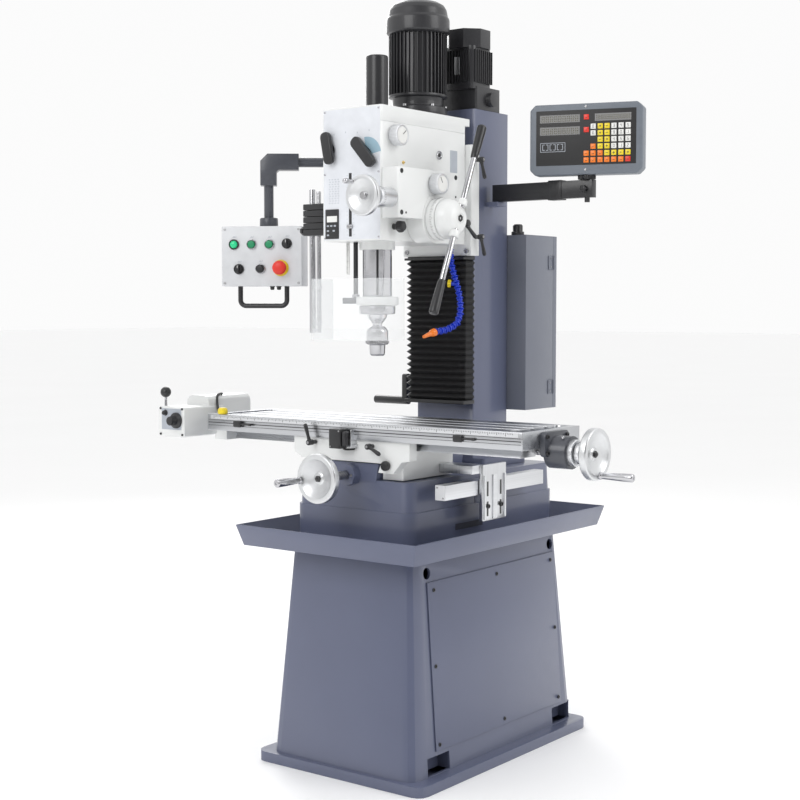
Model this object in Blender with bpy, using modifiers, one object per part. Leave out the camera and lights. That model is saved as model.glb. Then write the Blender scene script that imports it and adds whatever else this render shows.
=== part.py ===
"""Floor-standing geared-head mill-drill on a cast pedestal, in metres, +Z up.

The origin is on the floor under the middle of the base plate. The operator stands at -Y,
and +X is the operator's right. Every sub-part is one object with its own material.
"""
import math

import bmesh
import bpy
from mathutils import Matrix, Vector

GAP = 0.0003            # clearance between pieces that touch
SLIDE_FIT = 0.0006      # clearance of a sliding dovetail
BORE_FIT = 0.0005       # radial clearance of a turning shaft
ROUND = 24              # facets of a round piece

# pedestal and tray
PLATE = (0.546, 0.808, 0.027)
FOOT = (0.472, 0.776)
STAND_TOP = (0.395, 0.696)
STAND_H = 0.580
STAND_WALL = 0.008
STAND_FLOOR = 0.010
COVER = (0.606, 0.428, 0.003)
COVER_MID = (0.016, 0.298)
POCKETS = ((-0.323, -0.228), (0.272, 0.368))
POCKET_TOP = 0.074
EYES = (-0.283, 0.306)
EYE_Z = 0.534
EYE_R = 0.015
TRAY = (0.556, 0.882)
TRAY_RIM_H = 0.054
TRAY_FLARE = 0.015
TRAY_T = 0.003

# base casting
BASE_X = 0.384
BASE_FRONT, BASE_BACK = -0.338, 0.347
BASE_LOW_H = 0.105
BASE_H = 0.181
WAY_H = 0.043
WAY_HALF = 0.085
WAY_TAPER = 0.008
WAY_END = 0.045
SCREW_R = 0.011
Y_SCREW_DROP = 0.031    # below the top of the ways
CHANNEL_HALF = 0.028

# saddle and table
SADDLE_HALF = 0.150
SADDLE_FLOOR = 0.036
TABLE_MID = -0.219
TABLE_W = 0.262
TABLE_LEFT = -0.496
TABLE_L = 1.022
TABLE_T = 0.044
TAIL_H = 0.023
TAIL_HALF = 0.085
TAIL_TAPER = 0.014
T_SLOT = (0.014, 0.009, 0.022, 0.008)
T_PITCH = 0.063
APRON_FRONT = -0.341
APRON_T = 0.030
WHEEL_R = 0.0625
GRIP_L = 0.090

# column, lift and head slide
COLUMN_HALF = 0.096
COLUMN_FRONT, COLUMN_BACK = 0.0763, 0.246
COLUMN_H = 0.974
COLUMN_WALL = 0.016
LIFT_SCREW_R = 0.013
LIFT_SCREW_Y = 0.130
BELLOWS_LOW = 0.175     # above the column's foot
SLIDE_LOW = 0.577
SLIDE_H = 0.296
SLIDE_HALF = 0.115
SLIDE_FRONT = 0.0363

# head
HEAD_HALF = 0.096
HEAD_FRONT, HEAD_BACK = -0.332, 0.036
HEAD_LOW = 0.029        # above the slide's lower edge
HEAD_H = 0.296
HEAD_WALL = 0.012
TOP_H = 0.040
SPINDLE_Y = -0.227
QUILL_R = 0.038
QUILL_L = 0.380
SPINDLE_R = 0.022
CAPSTAN = (-0.170, 0.057)     # y, and height above the head's lower face
DIAL_R = 0.054
ARM_REACH = 0.264
ARM_ANGLE = math.radians(24)
HOUSING_X = 0.0527
BOSS_RISE = 0.002

# what hangs on the column
CABINET = (0.312, 0.144, 0.490)
CABINET_LOW = 0.150
DOOR_T = 0.0197
ARM_PIVOT = (-0.128, 0.140)
ELBOW = (-0.463, -0.132)
PENDANT_ARM_UP = 0.846
PENDANT_DROP = 0.181
TUBE_R = 0.0135
PENDANT = (0.230, 0.085, 0.168)
PENDANT_YAW = math.radians(29)
READOUT_PIVOT = (0.128, 0.150)
READOUT_POST = (0.405, 0.150)
READOUT_UP = 0.725
CONSOLE = (0.298, 0.050, 0.184)
CONSOLE_YAW = math.radians(18)

# heights that follow from the sizes above
TRAY_Z = STAND_H + GAP
BASE_Z = TRAY_Z + TRAY_T + GAP
BASE_TOP = BASE_Z + BASE_H
WAY_TOP = BASE_TOP + WAY_H
SADDLE_Z = WAY_TOP + GAP
TAIL_Z = SADDLE_Z + SADDLE_FLOOR + GAP
SLAB_Z = TAIL_Z + TAIL_H
TABLE_Z = SLAB_Z + TABLE_T
TABLE_FRONT = TABLE_MID - TABLE_W / 2
TABLE_RIGHT = TABLE_LEFT + TABLE_L
Y_SCREW_Z = WAY_TOP - Y_SCREW_DROP
X_SCREW_Z = TAIL_Z + 0.013
COLUMN_Z = BASE_TOP + GAP
COLUMN_TOP = COLUMN_Z + COLUMN_H
SLIDE_Z = COLUMN_Z + SLIDE_LOW
TILT_Z = SLIDE_Z + SLIDE_H / 2
HEAD_Z = SLIDE_Z + HEAD_LOW
HEAD_TOP = HEAD_Z + HEAD_H
COVER_TOP = HEAD_TOP + GAP + TOP_H
CAP_Y, CAP_Z = CAPSTAN[0], HEAD_Z + CAPSTAN[1]
QUILL_LOW = HEAD_Z - 0.141
PENDANT_ARM_Z = COLUMN_Z + PENDANT_ARM_UP
READOUT_Z = COLUMN_Z + READOUT_UP
WHEEL_Y = BASE_FRONT - 0.130
WHEEL_X = TABLE_RIGHT + 0.120

for old in list(bpy.data.objects):
    bpy.data.objects.remove(old, do_unlink=True)
machine = bpy.data.collections.new("mill_drill")
cutters = bpy.data.collections.new("cutters")
bpy.context.scene.collection.children.link(machine)
bpy.context.scene.collection.children.link(cutters)

FINISHES = {
    "blue_paint": ((0.130, 0.146, 0.220), 0.35, 0.0),
    "white_paint": ((0.800, 0.805, 0.790), 0.35, 0.0),
    "machined": ((0.620, 0.630, 0.640), 0.28, 1.0),
    "polished": ((0.780, 0.780, 0.780), 0.14, 1.0),
    "black_paint": ((0.018, 0.018, 0.020), 0.40, 0.0),
    "black_plastic": ((0.020, 0.020, 0.022), 0.45, 0.0),
    "grey_paint": ((0.110, 0.120, 0.150), 0.40, 0.0),
    "bellows": ((0.012, 0.012, 0.013), 0.60, 0.0),
    "clear": ((0.900, 0.920, 0.930), 0.05, 0.0),
    "hose_blue": ((0.010, 0.040, 0.450), 0.35, 0.0),
    "green": ((0.020, 0.330, 0.130), 0.35, 0.0),
    "red": ((0.700, 0.020, 0.015), 0.35, 0.0),
}


def finish(name):
    """The Principled material of a finish, made once."""
    known = bpy.data.materials.get(name)
    if known:
        return known
    colour, rough, metallic = FINISHES[name]
    material = bpy.data.materials.new(name)
    material.use_nodes = True
    shader = material.node_tree.nodes["Principled BSDF"]
    shader.inputs["Base Color"].default_value = (*colour, 1.0)
    shader.inputs["Roughness"].default_value = rough
    shader.inputs["Metallic"].default_value = metallic
    return material


def link(mesh, name, paint=None):
    """A new object: a sub-part when it has a finish, else a cutter or a piece to join."""
    piece = bpy.data.objects.new(name, mesh)
    if paint:
        machine.objects.link(piece)
        mesh.materials.append(finish(paint))
    else:
        cutters.objects.link(piece)
        piece.hide_render = True
        piece.display_type = "WIRE"
    return piece


def combine(target, other, operation):
    step = target.modifiers.new(operation.lower(), "BOOLEAN")
    step.operation = operation
    step.object = other
    step.solver = "EXACT"
    return target


def cut(target, *others):
    for other in others:
        combine(target, other, "DIFFERENCE")
    return target


def join(target, *others):
    for other in others:
        combine(target, other, "UNION")
    return target


def block(name, low, high, paint=None, radius=0.0, axis=2, steps=3, taper=(1.0, 1.0)):
    """A box between two corners; the edges along one axis can be round, the top can taper."""
    low, high = Vector(low), Vector(high)
    bm = bmesh.new()
    bmesh.ops.create_cube(bm, size=1.0)
    bmesh.ops.scale(bm, vec=high - low, verts=bm.verts)
    if radius:
        along = [e for e in bm.edges
                 if abs((e.verts[0].co - e.verts[1].co)[axis]) > 0.5 * (high - low)[axis]]
        bmesh.ops.bevel(bm, geom=along, offset=radius, segments=steps, affect="EDGES", profile=0.5)
    for vert in bm.verts:
        if vert.co.z > 0:
            vert.co.x *= taper[0]
            vert.co.y *= taper[1]
    mesh = bpy.data.meshes.new(name)
    bm.to_mesh(mesh)
    bm.free()
    piece = link(mesh, name, paint)
    piece.location = (low + high) / 2
    return piece


AXES = {
    "+z": Matrix.Identity(3), "-z": Matrix.Rotation(math.pi, 3, "X"),
    "+x": Matrix.Rotation(math.pi / 2, 3, "Y"), "-x": Matrix.Rotation(-math.pi / 2, 3, "Y"),
    "+y": Matrix.Rotation(-math.pi / 2, 3, "X"), "-y": Matrix.Rotation(math.pi / 2, 3, "X"),
}


def turned(name, at, axis, profile, paint=None, facets=ROUND):
    """A turned shape. The profile is (radius, height) from the top of its outline downwards."""
    mesh = bpy.data.meshes.new(name)
    verts = [(radius, 0.0, height) for radius, height in profile]
    edges = [(i, i + 1) for i in range(len(verts) - 1)]
    if profile[0][0] > 0:
        edges.append((len(verts) - 1, 0))
    mesh.from_pydata(verts, edges, [])
    piece = link(mesh, name, paint)
    screw = piece.modifiers.new("turn", "SCREW")
    screw.angle = 2 * math.pi
    screw.steps = screw.render_steps = facets
    screw.use_merge_vertices = True
    screw.merge_threshold = 0.00001
    screw.use_smooth_shade = False
    piece.location = at
    piece.rotation_euler = AXES[axis].to_euler()
    return piece


def rod(name, at, axis, radius, length, paint=None, start=0.0, facets=ROUND):
    """A plain round bar from start to start + length along its axis."""
    top = start + length
    return turned(name, at, axis, [(0, top), (radius, top), (radius, start), (0, start)],
                  paint, facets)


def bar(name, start, end, radius, paint=None, facets=12):
    """A round bar between two points that lie in any direction."""
    start, end = Vector(start), Vector(end)
    piece = rod(name, start, "+z", radius, (end - start).length, paint, facets=facets)
    piece.rotation_euler = (end - start).to_track_quat("Z", "Y").to_euler()
    return piece


def plate(name, points, low, high, paint=None):
    """An outline in X and Z, given in order, extruded along Y from low to high."""
    bm = bmesh.new()
    verts = [bm.verts.new((x, low, z)) for x, z in points]
    face = bm.faces.new(verts)
    grown = bmesh.ops.extrude_face_region(bm, geom=[face])
    moved = [g for g in grown["geom"] if isinstance(g, bmesh.types.BMVert)]
    bmesh.ops.translate(bm, vec=(0, high - low, 0), verts=moved)
    bmesh.ops.recalc_face_normals(bm, faces=bm.faces)
    mesh = bpy.data.meshes.new(name)
    bm.to_mesh(mesh)
    bm.free()
    return link(mesh, name, paint)


def pipe(name, points, radius, paint=None, resolution=2):
    """A tube along points: a filled curve turned into a closed mesh."""
    curve = bpy.data.curves.new(name, "CURVE")
    curve.dimensions = "3D"
    curve.bevel_depth = radius
    curve.bevel_resolution = resolution
    curve.use_fill_caps = True
    spline = curve.splines.new("POLY")
    spline.points.add(len(points) - 1)
    for point, place in zip(spline.points, points):
        point.co = (*place, 1.0)
    guide = bpy.data.objects.new(name + "_guide", curve)
    cutters.objects.link(guide)
    bpy.context.view_layer.update()
    mesh = bpy.data.meshes.new_from_object(guide.evaluated_get(bpy.context.evaluated_depsgraph_get()))
    bpy.data.objects.remove(guide, do_unlink=True)
    bm = bmesh.new()
    bm.from_mesh(mesh)
    bmesh.ops.remove_doubles(bm, verts=bm.verts, dist=0.00001)
    bmesh.ops.recalc_face_normals(bm, faces=bm.faces)
    bm.to_mesh(mesh)
    bm.free()
    mesh.name = name
    return link(mesh, name, paint)


def pivot(piece, at):
    """Moves a piece's origin to its joint, leaving its shape in place."""
    bpy.context.view_layer.update()
    shift = piece.matrix_world.inverted() @ Vector(at)
    piece.data.transform(Matrix.Translation(-shift))
    piece.location = at
    return piece


def stand():
    """The hollow pedestal with its floor, a service opening and anchor-bolt pockets."""
    base = block("stand", (-PLATE[0] / 2, -PLATE[1] / 2, 0), (PLATE[0] / 2, PLATE[1] / 2, PLATE[2]),
                 "blue_paint", radius=0.03)
    half = (FOOT[0] / 2, FOOT[1] / 2)
    taper = (STAND_TOP[0] / FOOT[0], STAND_TOP[1] / FOOT[1])
    low = PLATE[2] - 0.005
    body = block("stand_body", (-half[0], -half[1], low), (half[0], half[1], STAND_H),
                 radius=0.035, taper=taper)
    inner = [h - STAND_WALL for h in half]
    hollow = block("stand_hollow", (-inner[0], -inner[1], STAND_FLOOR),
                   (inner[0], inner[1], STAND_H - STAND_WALL), radius=0.03, taper=taper)
    opening = block("stand_opening", (0.1, -0.20, 0.12), (0.3, 0.20, 0.44))
    join(base, body)
    cut(base, hollow, opening)
    for side in (-1, 1):
        x = side * half[0]
        for y_low, y_high in POCKETS:
            cut(base, block("stand_pocket", (x - 0.03, y_low, PLATE[2] + 0.001),
                            (x + 0.03, y_high, POCKET_TOP)))
        for y in EYES:
            cut(base, rod("stand_eye", (side * (STAND_TOP[0] / 2 + 0.004), y, EYE_Z), "+x", EYE_R, 0.06,
                          start=-0.03, facets=20))


def stand_cover():
    """The flat service cover, parallel to the pedestal's leaning right wall."""
    lean = math.atan2((FOOT[0] - STAND_TOP[0]) / 2, STAND_H - PLATE[2])
    width, height, thick = COVER
    panel = block("stand_service_cover", (0, -width / 2, -height / 2), (thick, width / 2, height / 2),
                  "blue_paint")
    mid_y, mid_z = COVER_MID
    share = (mid_z - PLATE[2]) / (STAND_H - PLATE[2])
    wall_x = (FOOT[0] + (STAND_TOP[0] - FOOT[0]) * share) / 2
    panel.location = (wall_x + thick / 2 + 2 * GAP, mid_y, mid_z)
    panel.rotation_euler = (0, -lean, 0)


def tray():
    """The chip tray, folded from sheet with a flared rim."""
    bm = bmesh.new()
    bmesh.ops.create_cube(bm, size=1.0)
    bmesh.ops.scale(bm, vec=(TRAY[0], TRAY[1], TRAY_RIM_H), verts=bm.verts)
    top = [f for f in bm.faces if f.normal.z > 0.5]
    bmesh.ops.delete(bm, geom=top, context="FACES_ONLY")
    for vert in bm.verts:
        if vert.co.z > 0:
            vert.co.x *= 1 + 2 * TRAY_FLARE / TRAY[0]
            vert.co.y *= 1 + 2 * TRAY_FLARE / TRAY[1]
    mesh = bpy.data.meshes.new("chip_tray")
    bm.to_mesh(mesh)
    bm.free()
    sheet = link(mesh, "chip_tray", "blue_paint")
    sheet.location = (0, 0, TRAY_Z + TRAY_RIM_H / 2)
    wall = sheet.modifiers.new("sheet", "SOLIDIFY")
    wall.thickness = TRAY_T
    wall.offset = -1
    wall.use_even_offset = True


def base_casting():
    """Two stepped tiers with the Y ways on top and the Y screw's bearing in front."""
    half = BASE_X / 2
    body = block("base_casting", (-half, BASE_FRONT, BASE_Z), (half, BASE_BACK, BASE_Z + BASE_LOW_H),
                 "blue_paint", radius=0.035, steps=4)
    upper = block("base_upper", (-half + 0.005, BASE_FRONT + 0.004, BASE_Z + BASE_LOW_H - 0.004),
                  (half - 0.005, BASE_BACK - 0.004, BASE_TOP), radius=0.033, steps=4,
                  taper=(0.985, 0.99))
    way = (WAY_HALF - WAY_TAPER) / WAY_HALF
    ways = block("base_ways", (-WAY_HALF, BASE_FRONT + 0.006, BASE_TOP - 0.004),
                 (WAY_HALF, WAY_END, WAY_TOP), taper=(1 / way, 1.0))
    ways.scale.x = way
    flange = rod("base_flange", (0, BASE_FRONT - 0.020, Y_SCREW_Z), "+y", 0.029, 0.040, facets=8)
    hollow = block("base_hollow", (-half + 0.028, BASE_FRONT + 0.030, BASE_Z - 0.01),
                   (half - 0.028, BASE_BACK - 0.030, BASE_TOP - 0.045))
    channel = block("base_channel", (-CHANNEL_HALF, BASE_FRONT + 0.040, Y_SCREW_Z - 0.032),
                    (CHANNEL_HALF, WAY_END - 0.015, WAY_TOP + 0.01))
    bore = rod("base_bore", (0, BASE_FRONT - 0.03, Y_SCREW_Z), "+y", SCREW_R + BORE_FIT, 0.08)
    join(body, upper, ways, flange)
    cut(body, hollow, channel, bore)


def y_drive():
    """The Y screw, its handwheel with the dial, and the revolving grip."""
    rod("y_leadscrew", (0, WAY_END - 0.020, Y_SCREW_Z), "-y", SCREW_R,
        WAY_END - 0.020 - WHEEL_Y - 0.045, "machined", facets=16)
    handwheel("y_handwheel", (0, WHEEL_Y, Y_SCREW_Z), "-y")
    spot = (-0.0505, WHEEL_Y - 0.0083, Y_SCREW_Z - 0.006)
    turned("y_grip", spot, "-y", grip_profile(), "polished", facets=16)


def handwheel(name, at, axis):
    """A dished wheel with its dial and hub behind it, turned in one piece."""
    r = WHEEL_R
    front = [(0, 0.004), (0.011, 0.004), (0.011, -0.004), (0.040, 0.004), (r - 0.013, 0.008),
             (r - 0.002, 0.008), (r, 0.006), (r, -0.010), (r - 0.004, -0.012), (r - 0.012, -0.009)]
    back = [(0.030, -0.010), (0.022, -0.016), (0.022, -0.030), (0.026, -0.031), (0.026, -0.0447),
            (0, -0.0447)]
    return turned(name, at, axis, front + back, "polished")


def grip_profile():
    end = GRIP_L
    return [(0, end), (0.0085, end), (0.0105, end - 0.004), (0.0095, end * 0.55), (0.0075, 0.010),
            (0.0095, 0.0), (0, 0.0)]


def y_scale():
    """The Y position scale: an aluminium bar on two feet on the base's right wall."""
    x_in, x_out = BASE_X / 2 + 0.028, BASE_X / 2 + 0.058
    low, high = BASE_TOP - 0.044, BASE_TOP - 0.006
    rail = block("y_scale", (x_in, -0.272, low), (x_out, 0.190, high), "machined")
    for y in (-0.20, 0.11):
        foot = block("y_scale_foot", (BASE_X / 2 + 0.001, y, low + 0.004),
                     (x_in + 0.002, y + 0.03, high - 0.01))
        join(rail, foot)


def saddle():
    """The saddle with both dovetails, its apron, and the nuts of the X and Y screws."""
    top = SLAB_Z - GAP
    low = BASE_TOP + 0.003
    body = block("saddle", (-SADDLE_HALF, APRON_FRONT + APRON_T - 0.002, low),
                 (SADDLE_HALF, TABLE_MID + 0.121, top), "white_paint")
    z = top
    steps = [(-0.188, z), (-0.188, z - 0.041), (-0.160, z - 0.056), (0.100, z - 0.056),
             (0.092, z - 0.080), (0.139, z - 0.080), (0.165, z - 0.050), (0.190, z - 0.046), (0.190, z)]
    apron = plate("saddle_apron", steps, APRON_FRONT, APRON_FRONT + APRON_T)
    way = (WAY_HALF - WAY_TAPER) / WAY_HALF
    y_low, y_high = APRON_FRONT - 0.02, TABLE_MID + 0.15
    gap = WAY_HALF + SLIDE_FIT
    clear = block("saddle_y_way", (-gap, y_low, low - 0.02), (gap, y_high, SADDLE_Z))
    tail = TAIL_HALF + SLIDE_FIT
    x_way = block("saddle_x_way", (-0.3, TABLE_MID - tail, TAIL_Z - GAP),
                  (0.3, TABLE_MID + tail, SLAB_Z + 0.02), taper=(1.0, 1 - 0.8 * TAIL_TAPER / tail))
    join(body, apron)
    cut(body, clear, x_way)
    x_nut = block("x_nut", (-0.030, TABLE_MID - 0.0145, TAIL_Z - 0.010), (0.030, TABLE_MID + 0.0145,
                                                                          X_SCREW_Z + 0.016))
    y_nut = block("y_nut", (-0.020, -0.165, Y_SCREW_Z - 0.017), (0.020, -0.120, SADDLE_Z + 0.004))
    join(body, x_nut, y_nut)
    hole = SCREW_R + BORE_FIT
    cut(body, rod("x_nut_bore", (-0.2, TABLE_MID, X_SCREW_Z), "+x", hole, 0.4),
        rod("y_nut_bore", (0, -0.2, Y_SCREW_Z), "+y", hole, 0.12))


def reader():
    """The reader bracket: an arm from the saddle's right side, and a plate outside the scale."""
    inner = BASE_X / 2 + 0.0605
    high = BASE_TOP + 0.034
    hanger = block("scale_reader", (inner, -0.125, BASE_TOP - 0.112), (inner + 0.011, -0.016, high),
                   "machined")
    arm = block("reader_arm", (SADDLE_HALF + GAP, -0.160, high - 0.022), (inner + 0.002, -0.105, high))
    join(hanger, arm)


def lever(name, at, axis, end, paint="black_plastic", reach=0.026, thick=0.0055):
    """A clamping lever: a hub on its axis and an arm to its end, all in one."""
    along = {"-y": Vector((0, -1, 0)), "+x": Vector((1, 0, 0))}[axis]
    hub = rod(name, at, axis, 0.0075, reach, paint, facets=16)
    out = Vector(at) + along * (reach - 0.008)
    return join(hub, bar(name + "_arm", out, Vector(end) + along * (reach - 0.004), thick))


def table():
    """The T-slotted table with its underside dovetail and the channel for the X screw."""
    slab = block("table", (TABLE_LEFT, TABLE_FRONT, SLAB_Z), (TABLE_RIGHT, TABLE_MID + TABLE_W / 2, TABLE_Z),
                 "machined")
    tail = block("table_tail", (TABLE_LEFT + 0.060, TABLE_MID - TAIL_HALF, TAIL_Z),
                 (TABLE_RIGHT - 0.035, TABLE_MID + TAIL_HALF, SLAB_Z + 0.004),
                 taper=(1.0, 1 - TAIL_TAPER / TAIL_HALF))
    channel = block("table_channel", (TABLE_LEFT - 0.02, TABLE_MID - 0.0165, TAIL_Z - 0.01),
                    (TABLE_RIGHT + 0.02, TABLE_MID + 0.0165, X_SCREW_Z + 0.019))
    join(slab, tail)
    cut(slab, channel)
    neck_w, neck_h, foot_w, foot_h = T_SLOT
    inset = 0.055
    for row in (-1, 0, 1):
        y = TABLE_MID + row * T_PITCH
        neck = block("t_neck", (TABLE_LEFT + inset - 0.01, y - neck_w / 2, TABLE_Z - neck_h - 0.001),
                     (TABLE_RIGHT - inset + 0.01, y + neck_w / 2, TABLE_Z + 0.01))
        foot = block("t_foot", (TABLE_LEFT + inset - 0.01, y - foot_w / 2, TABLE_Z - neck_h - foot_h),
                     (TABLE_RIGHT - inset + 0.01, y + foot_w / 2, TABLE_Z - neck_h))
        cut(slab, neck, foot)
    depth = neck_h + foot_h + 0.002
    half = TABLE_W / 2 - 0.022
    for x in (TABLE_LEFT + 0.020, TABLE_RIGHT - inset):
        cut(slab, block("gutter", (x, TABLE_MID - half, TABLE_Z - depth),
                        (x + inset - 0.020, TABLE_MID + half, TABLE_Z + 0.01), radius=0.012))


def x_drive():
    """The X screw, its bearing housing on the table's right end, the handwheel and its grip."""
    at = (TABLE_RIGHT + GAP, TABLE_MID, X_SCREW_Z)
    housing = block("x_bearing_housing", (at[0], TABLE_MID - 0.055, X_SCREW_Z - 0.010),
                    (at[0] + 0.014, TABLE_MID + 0.055, TABLE_Z - 0.004), "grey_paint", radius=0.012, axis=0)
    barrel = rod("x_barrel", at, "+x", 0.040, 0.058)
    join(housing, barrel)
    cut(housing, rod("x_bearing_bore", (at[0] - 0.01, TABLE_MID, X_SCREW_Z), "+x", SCREW_R + BORE_FIT, 0.1))
    reach = WHEEL_X - 0.045 - (TABLE_LEFT - 0.034)
    rod("x_leadscrew", (TABLE_LEFT - 0.034, TABLE_MID, X_SCREW_Z), "+x", SCREW_R, reach - 0.0003,
        "machined", facets=16)
    handwheel("x_handwheel", (WHEEL_X, TABLE_MID, X_SCREW_Z), "+x")
    turned("x_grip", (WHEEL_X + 0.0083, TABLE_MID + 0.006, X_SCREW_Z - 0.0505), "+x", grip_profile(),
           "polished", facets=16)


def power_feed():
    """The table feed at the left end: bracket, gearbox and motor, with its lever and speed dial."""
    right = TABLE_LEFT - GAP
    box = block("power_feed", (right - 0.139, -0.400, TAIL_Z + 0.002),
                (right - 0.039, -0.245, TAIL_Z + 0.085), "white_paint", radius=0.008, axis=1)
    motor = block("feed_motor", (right - 0.129, -0.300, TAIL_Z + 0.015),
                  (right - 0.044, -0.130, TAIL_Z + 0.112), radius=0.020, axis=1)
    bracket = block("feed_bracket", (right - 0.045, -0.275, TAIL_Z - 0.010), (right, -0.165, TAIL_Z + 0.060))
    join(box, motor, bracket)
    cut(box, rod("feed_bore", (right - 0.060, TABLE_MID, X_SCREW_Z), "+x", SCREW_R + BORE_FIT, 0.1))
    x_lever = right - 0.139 - GAP
    hub = rod("feed_lever", (x_lever, -0.365, TAIL_Z + 0.030), "-x", 0.010, 0.012, "black_plastic", facets=16)
    knob = Vector((x_lever - 0.008, -0.365, TAIL_Z + 0.122))
    join(hub, bar("feed_stick", (x_lever - 0.008, -0.365, TAIL_Z + 0.030), knob, 0.004),
         turned("lever_ball", knob, "+z", ball_profile(0.015, 8), facets=16))
    turned("feed_dial", (right - 0.069, -0.400 - GAP, TAIL_Z + 0.048), "-y",
           [(0, 0.030), (0.011, 0.030), (0.012, 0.028), (0.012, 0.008), (0.022, 0.006), (0.022, 0), (0, 0)],
           "black_plastic", facets=24)


def ball_profile(radius, steps):
    """Half a circle from the top pole to the bottom pole."""
    return [(radius * math.sin(math.pi * i / steps) if 0 < i < steps else 0.0,
             radius * math.cos(math.pi * i / steps)) for i in range(steps + 1)]


def column():
    """The hollow column, with the slot for the lift nut and the rests of the two swing arms."""
    body = block("column", (-COLUMN_HALF, COLUMN_FRONT, COLUMN_Z), (COLUMN_HALF, COLUMN_BACK, COLUMN_TOP),
                 "blue_paint", radius=0.006, steps=2)
    foot = block("column_foot", (-0.130, COLUMN_FRONT, COLUMN_Z),
                 (0.130, COLUMN_BACK + 0.050, COLUMN_Z + 0.025), radius=0.015)
    wall = COLUMN_WALL
    hollow = block("column_hollow", (-COLUMN_HALF + wall, COLUMN_FRONT + wall, COLUMN_Z - 0.01),
                   (COLUMN_HALF - wall, COLUMN_BACK - wall, COLUMN_TOP - wall))
    slot = block("column_slot", (-0.026, COLUMN_FRONT - 0.02, COLUMN_Z + 0.28),
                 (0.026, COLUMN_FRONT + 0.05, COLUMN_TOP - 0.04))
    hole = rod("column_hole", (0, LIFT_SCREW_Y, COLUMN_TOP - 0.05), "+z", LIFT_SCREW_R + 0.004, 0.1)
    join(body, foot)
    for (x, y), z, side in ((ARM_PIVOT, PENDANT_ARM_Z - 0.030, -1), (READOUT_PIVOT, READOUT_Z - 0.012, 1)):
        shelf = block("arm_shelf", (side * (COLUMN_HALF - 0.004) - (0.046 if side < 0 else 0), y - 0.022, z),
                      (side * (COLUMN_HALF - 0.004) + (0.046 if side > 0 else 0), y + 0.022, z + 0.012))
        join(body, shelf)
    crank_hole = rod("crank_hole", (-COLUMN_HALF - 0.01, 0.110, COLUMN_Z + 0.237), "+x", 0.0095, 0.05,
                     facets=16)
    cut(body, hollow, slot, hole, crank_hole)


def lift():
    """The lift screw, its motor and gearbox on the column, the hand crank and the bellows."""
    rod("z_leadscrew", (0, LIFT_SCREW_Y, COLUMN_Z + 0.030), "+z", LIFT_SCREW_R,
        COLUMN_H - 0.031, "machined", facets=16)
    z = COLUMN_TOP + GAP
    gearbox = block("z_drive_motor", (-0.050, 0.088, z), (0.096, 0.205, z + 0.062), "black_paint",
                    radius=0.008)
    body = block("z_motor_body", (-0.002, 0.074, z + 0.055), (0.092, 0.166, z + 0.170), radius=0.012)
    cap = rod("z_motor_cap", (0.045, 0.120, z + 0.165), "+z", 0.062, 0.050, facets=8)
    cap.rotation_euler = (0, 0, math.radians(22.5))
    stub = rod("z_gear_stub", (0.090, 0.150, z + 0.030), "+x", 0.020, 0.022, facets=16)
    join(gearbox, body, cap, stub)
    crank_z = COLUMN_Z + 0.237
    x = -COLUMN_HALF - 0.062
    shaft = rod("z_crank", (-COLUMN_HALF + 0.014, 0.110, crank_z), "-x", 0.009, 0.084, "black_plastic",
                facets=16)
    arm = block("crank_arm", (x - 0.008, 0.099, crank_z - 0.075), (x + 0.008, 0.121, crank_z + 0.012),
                radius=0.008, axis=0)
    grip = rod("crank_grip", (x, 0.110, crank_z - 0.064), "-x", 0.0115, 0.110, facets=16)
    join(shaft, arm, grip)
    block("bellows", (-0.100, 0.0225, COLUMN_Z + BELLOWS_LOW), (0.100, COLUMN_FRONT - 2 * GAP, SLIDE_Z - GAP),
          "bellows")


def head_slide():
    """The slide on the column's ways, with the lift nut reaching through the slot."""
    body = block("head_slide", (-SLIDE_HALF, SLIDE_FRONT, SLIDE_Z),
                 (SLIDE_HALF, COLUMN_FRONT - 2 * GAP, SLIDE_Z + SLIDE_H), "white_paint",
                 radius=0.004, steps=2)
    z = TILT_Z - 0.03
    nut = block("lift_nut", (-0.022, COLUMN_FRONT - 0.005, z), (0.022, LIFT_SCREW_Y + 0.026, z + 0.060))
    join(body, nut)
    cut(body, rod("lift_nut_bore", (0, LIFT_SCREW_Y, z - 0.02), "+z", LIFT_SCREW_R + BORE_FIT, 0.1))
    for name, up in (("slide_lock_upper", SLIDE_H - 0.040), ("slide_lock_lower", 0.050)):
        at = (SLIDE_HALF + GAP, 0.055, SLIDE_Z + up)
        lever(name, at, "+x", (at[0], at[1] + 0.012, at[2] - 0.048))


def head_casting():
    """The head: a casting open at the top, bored for the quill, the pinion shaft and the depth rod."""
    body = block("head_casting", (-HEAD_HALF, HEAD_FRONT, HEAD_Z), (HEAD_HALF, HEAD_BACK, HEAD_TOP),
                 "white_paint", radius=0.005, steps=2)
    ring = rod("head_boss", (0, SPINDLE_Y, HEAD_Z - 0.020), "+z", QUILL_R + 0.0085, 0.025)
    wall = HEAD_WALL
    hollow = block("head_hollow", (-HEAD_HALF + wall, HEAD_FRONT + wall, HEAD_Z + 0.018),
                   (HEAD_HALF - wall, HEAD_BACK - wall, HEAD_TOP + 0.02))
    bore = rod("quill_bore", (0, SPINDLE_Y, HEAD_Z - 0.05), "+z", QUILL_R + BORE_FIT, 0.1)
    shaft = rod("shaft_bore", (0, CAP_Y, CAP_Z), "+x", 0.017, 0.2)
    depth = rod("depth_bore", (-0.053, SPINDLE_Y - 0.023, HEAD_Z - 0.05), "+z", 0.008, 0.1, facets=16)
    join(body, ring)
    cut(body, hollow, bore, shaft, depth)


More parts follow.
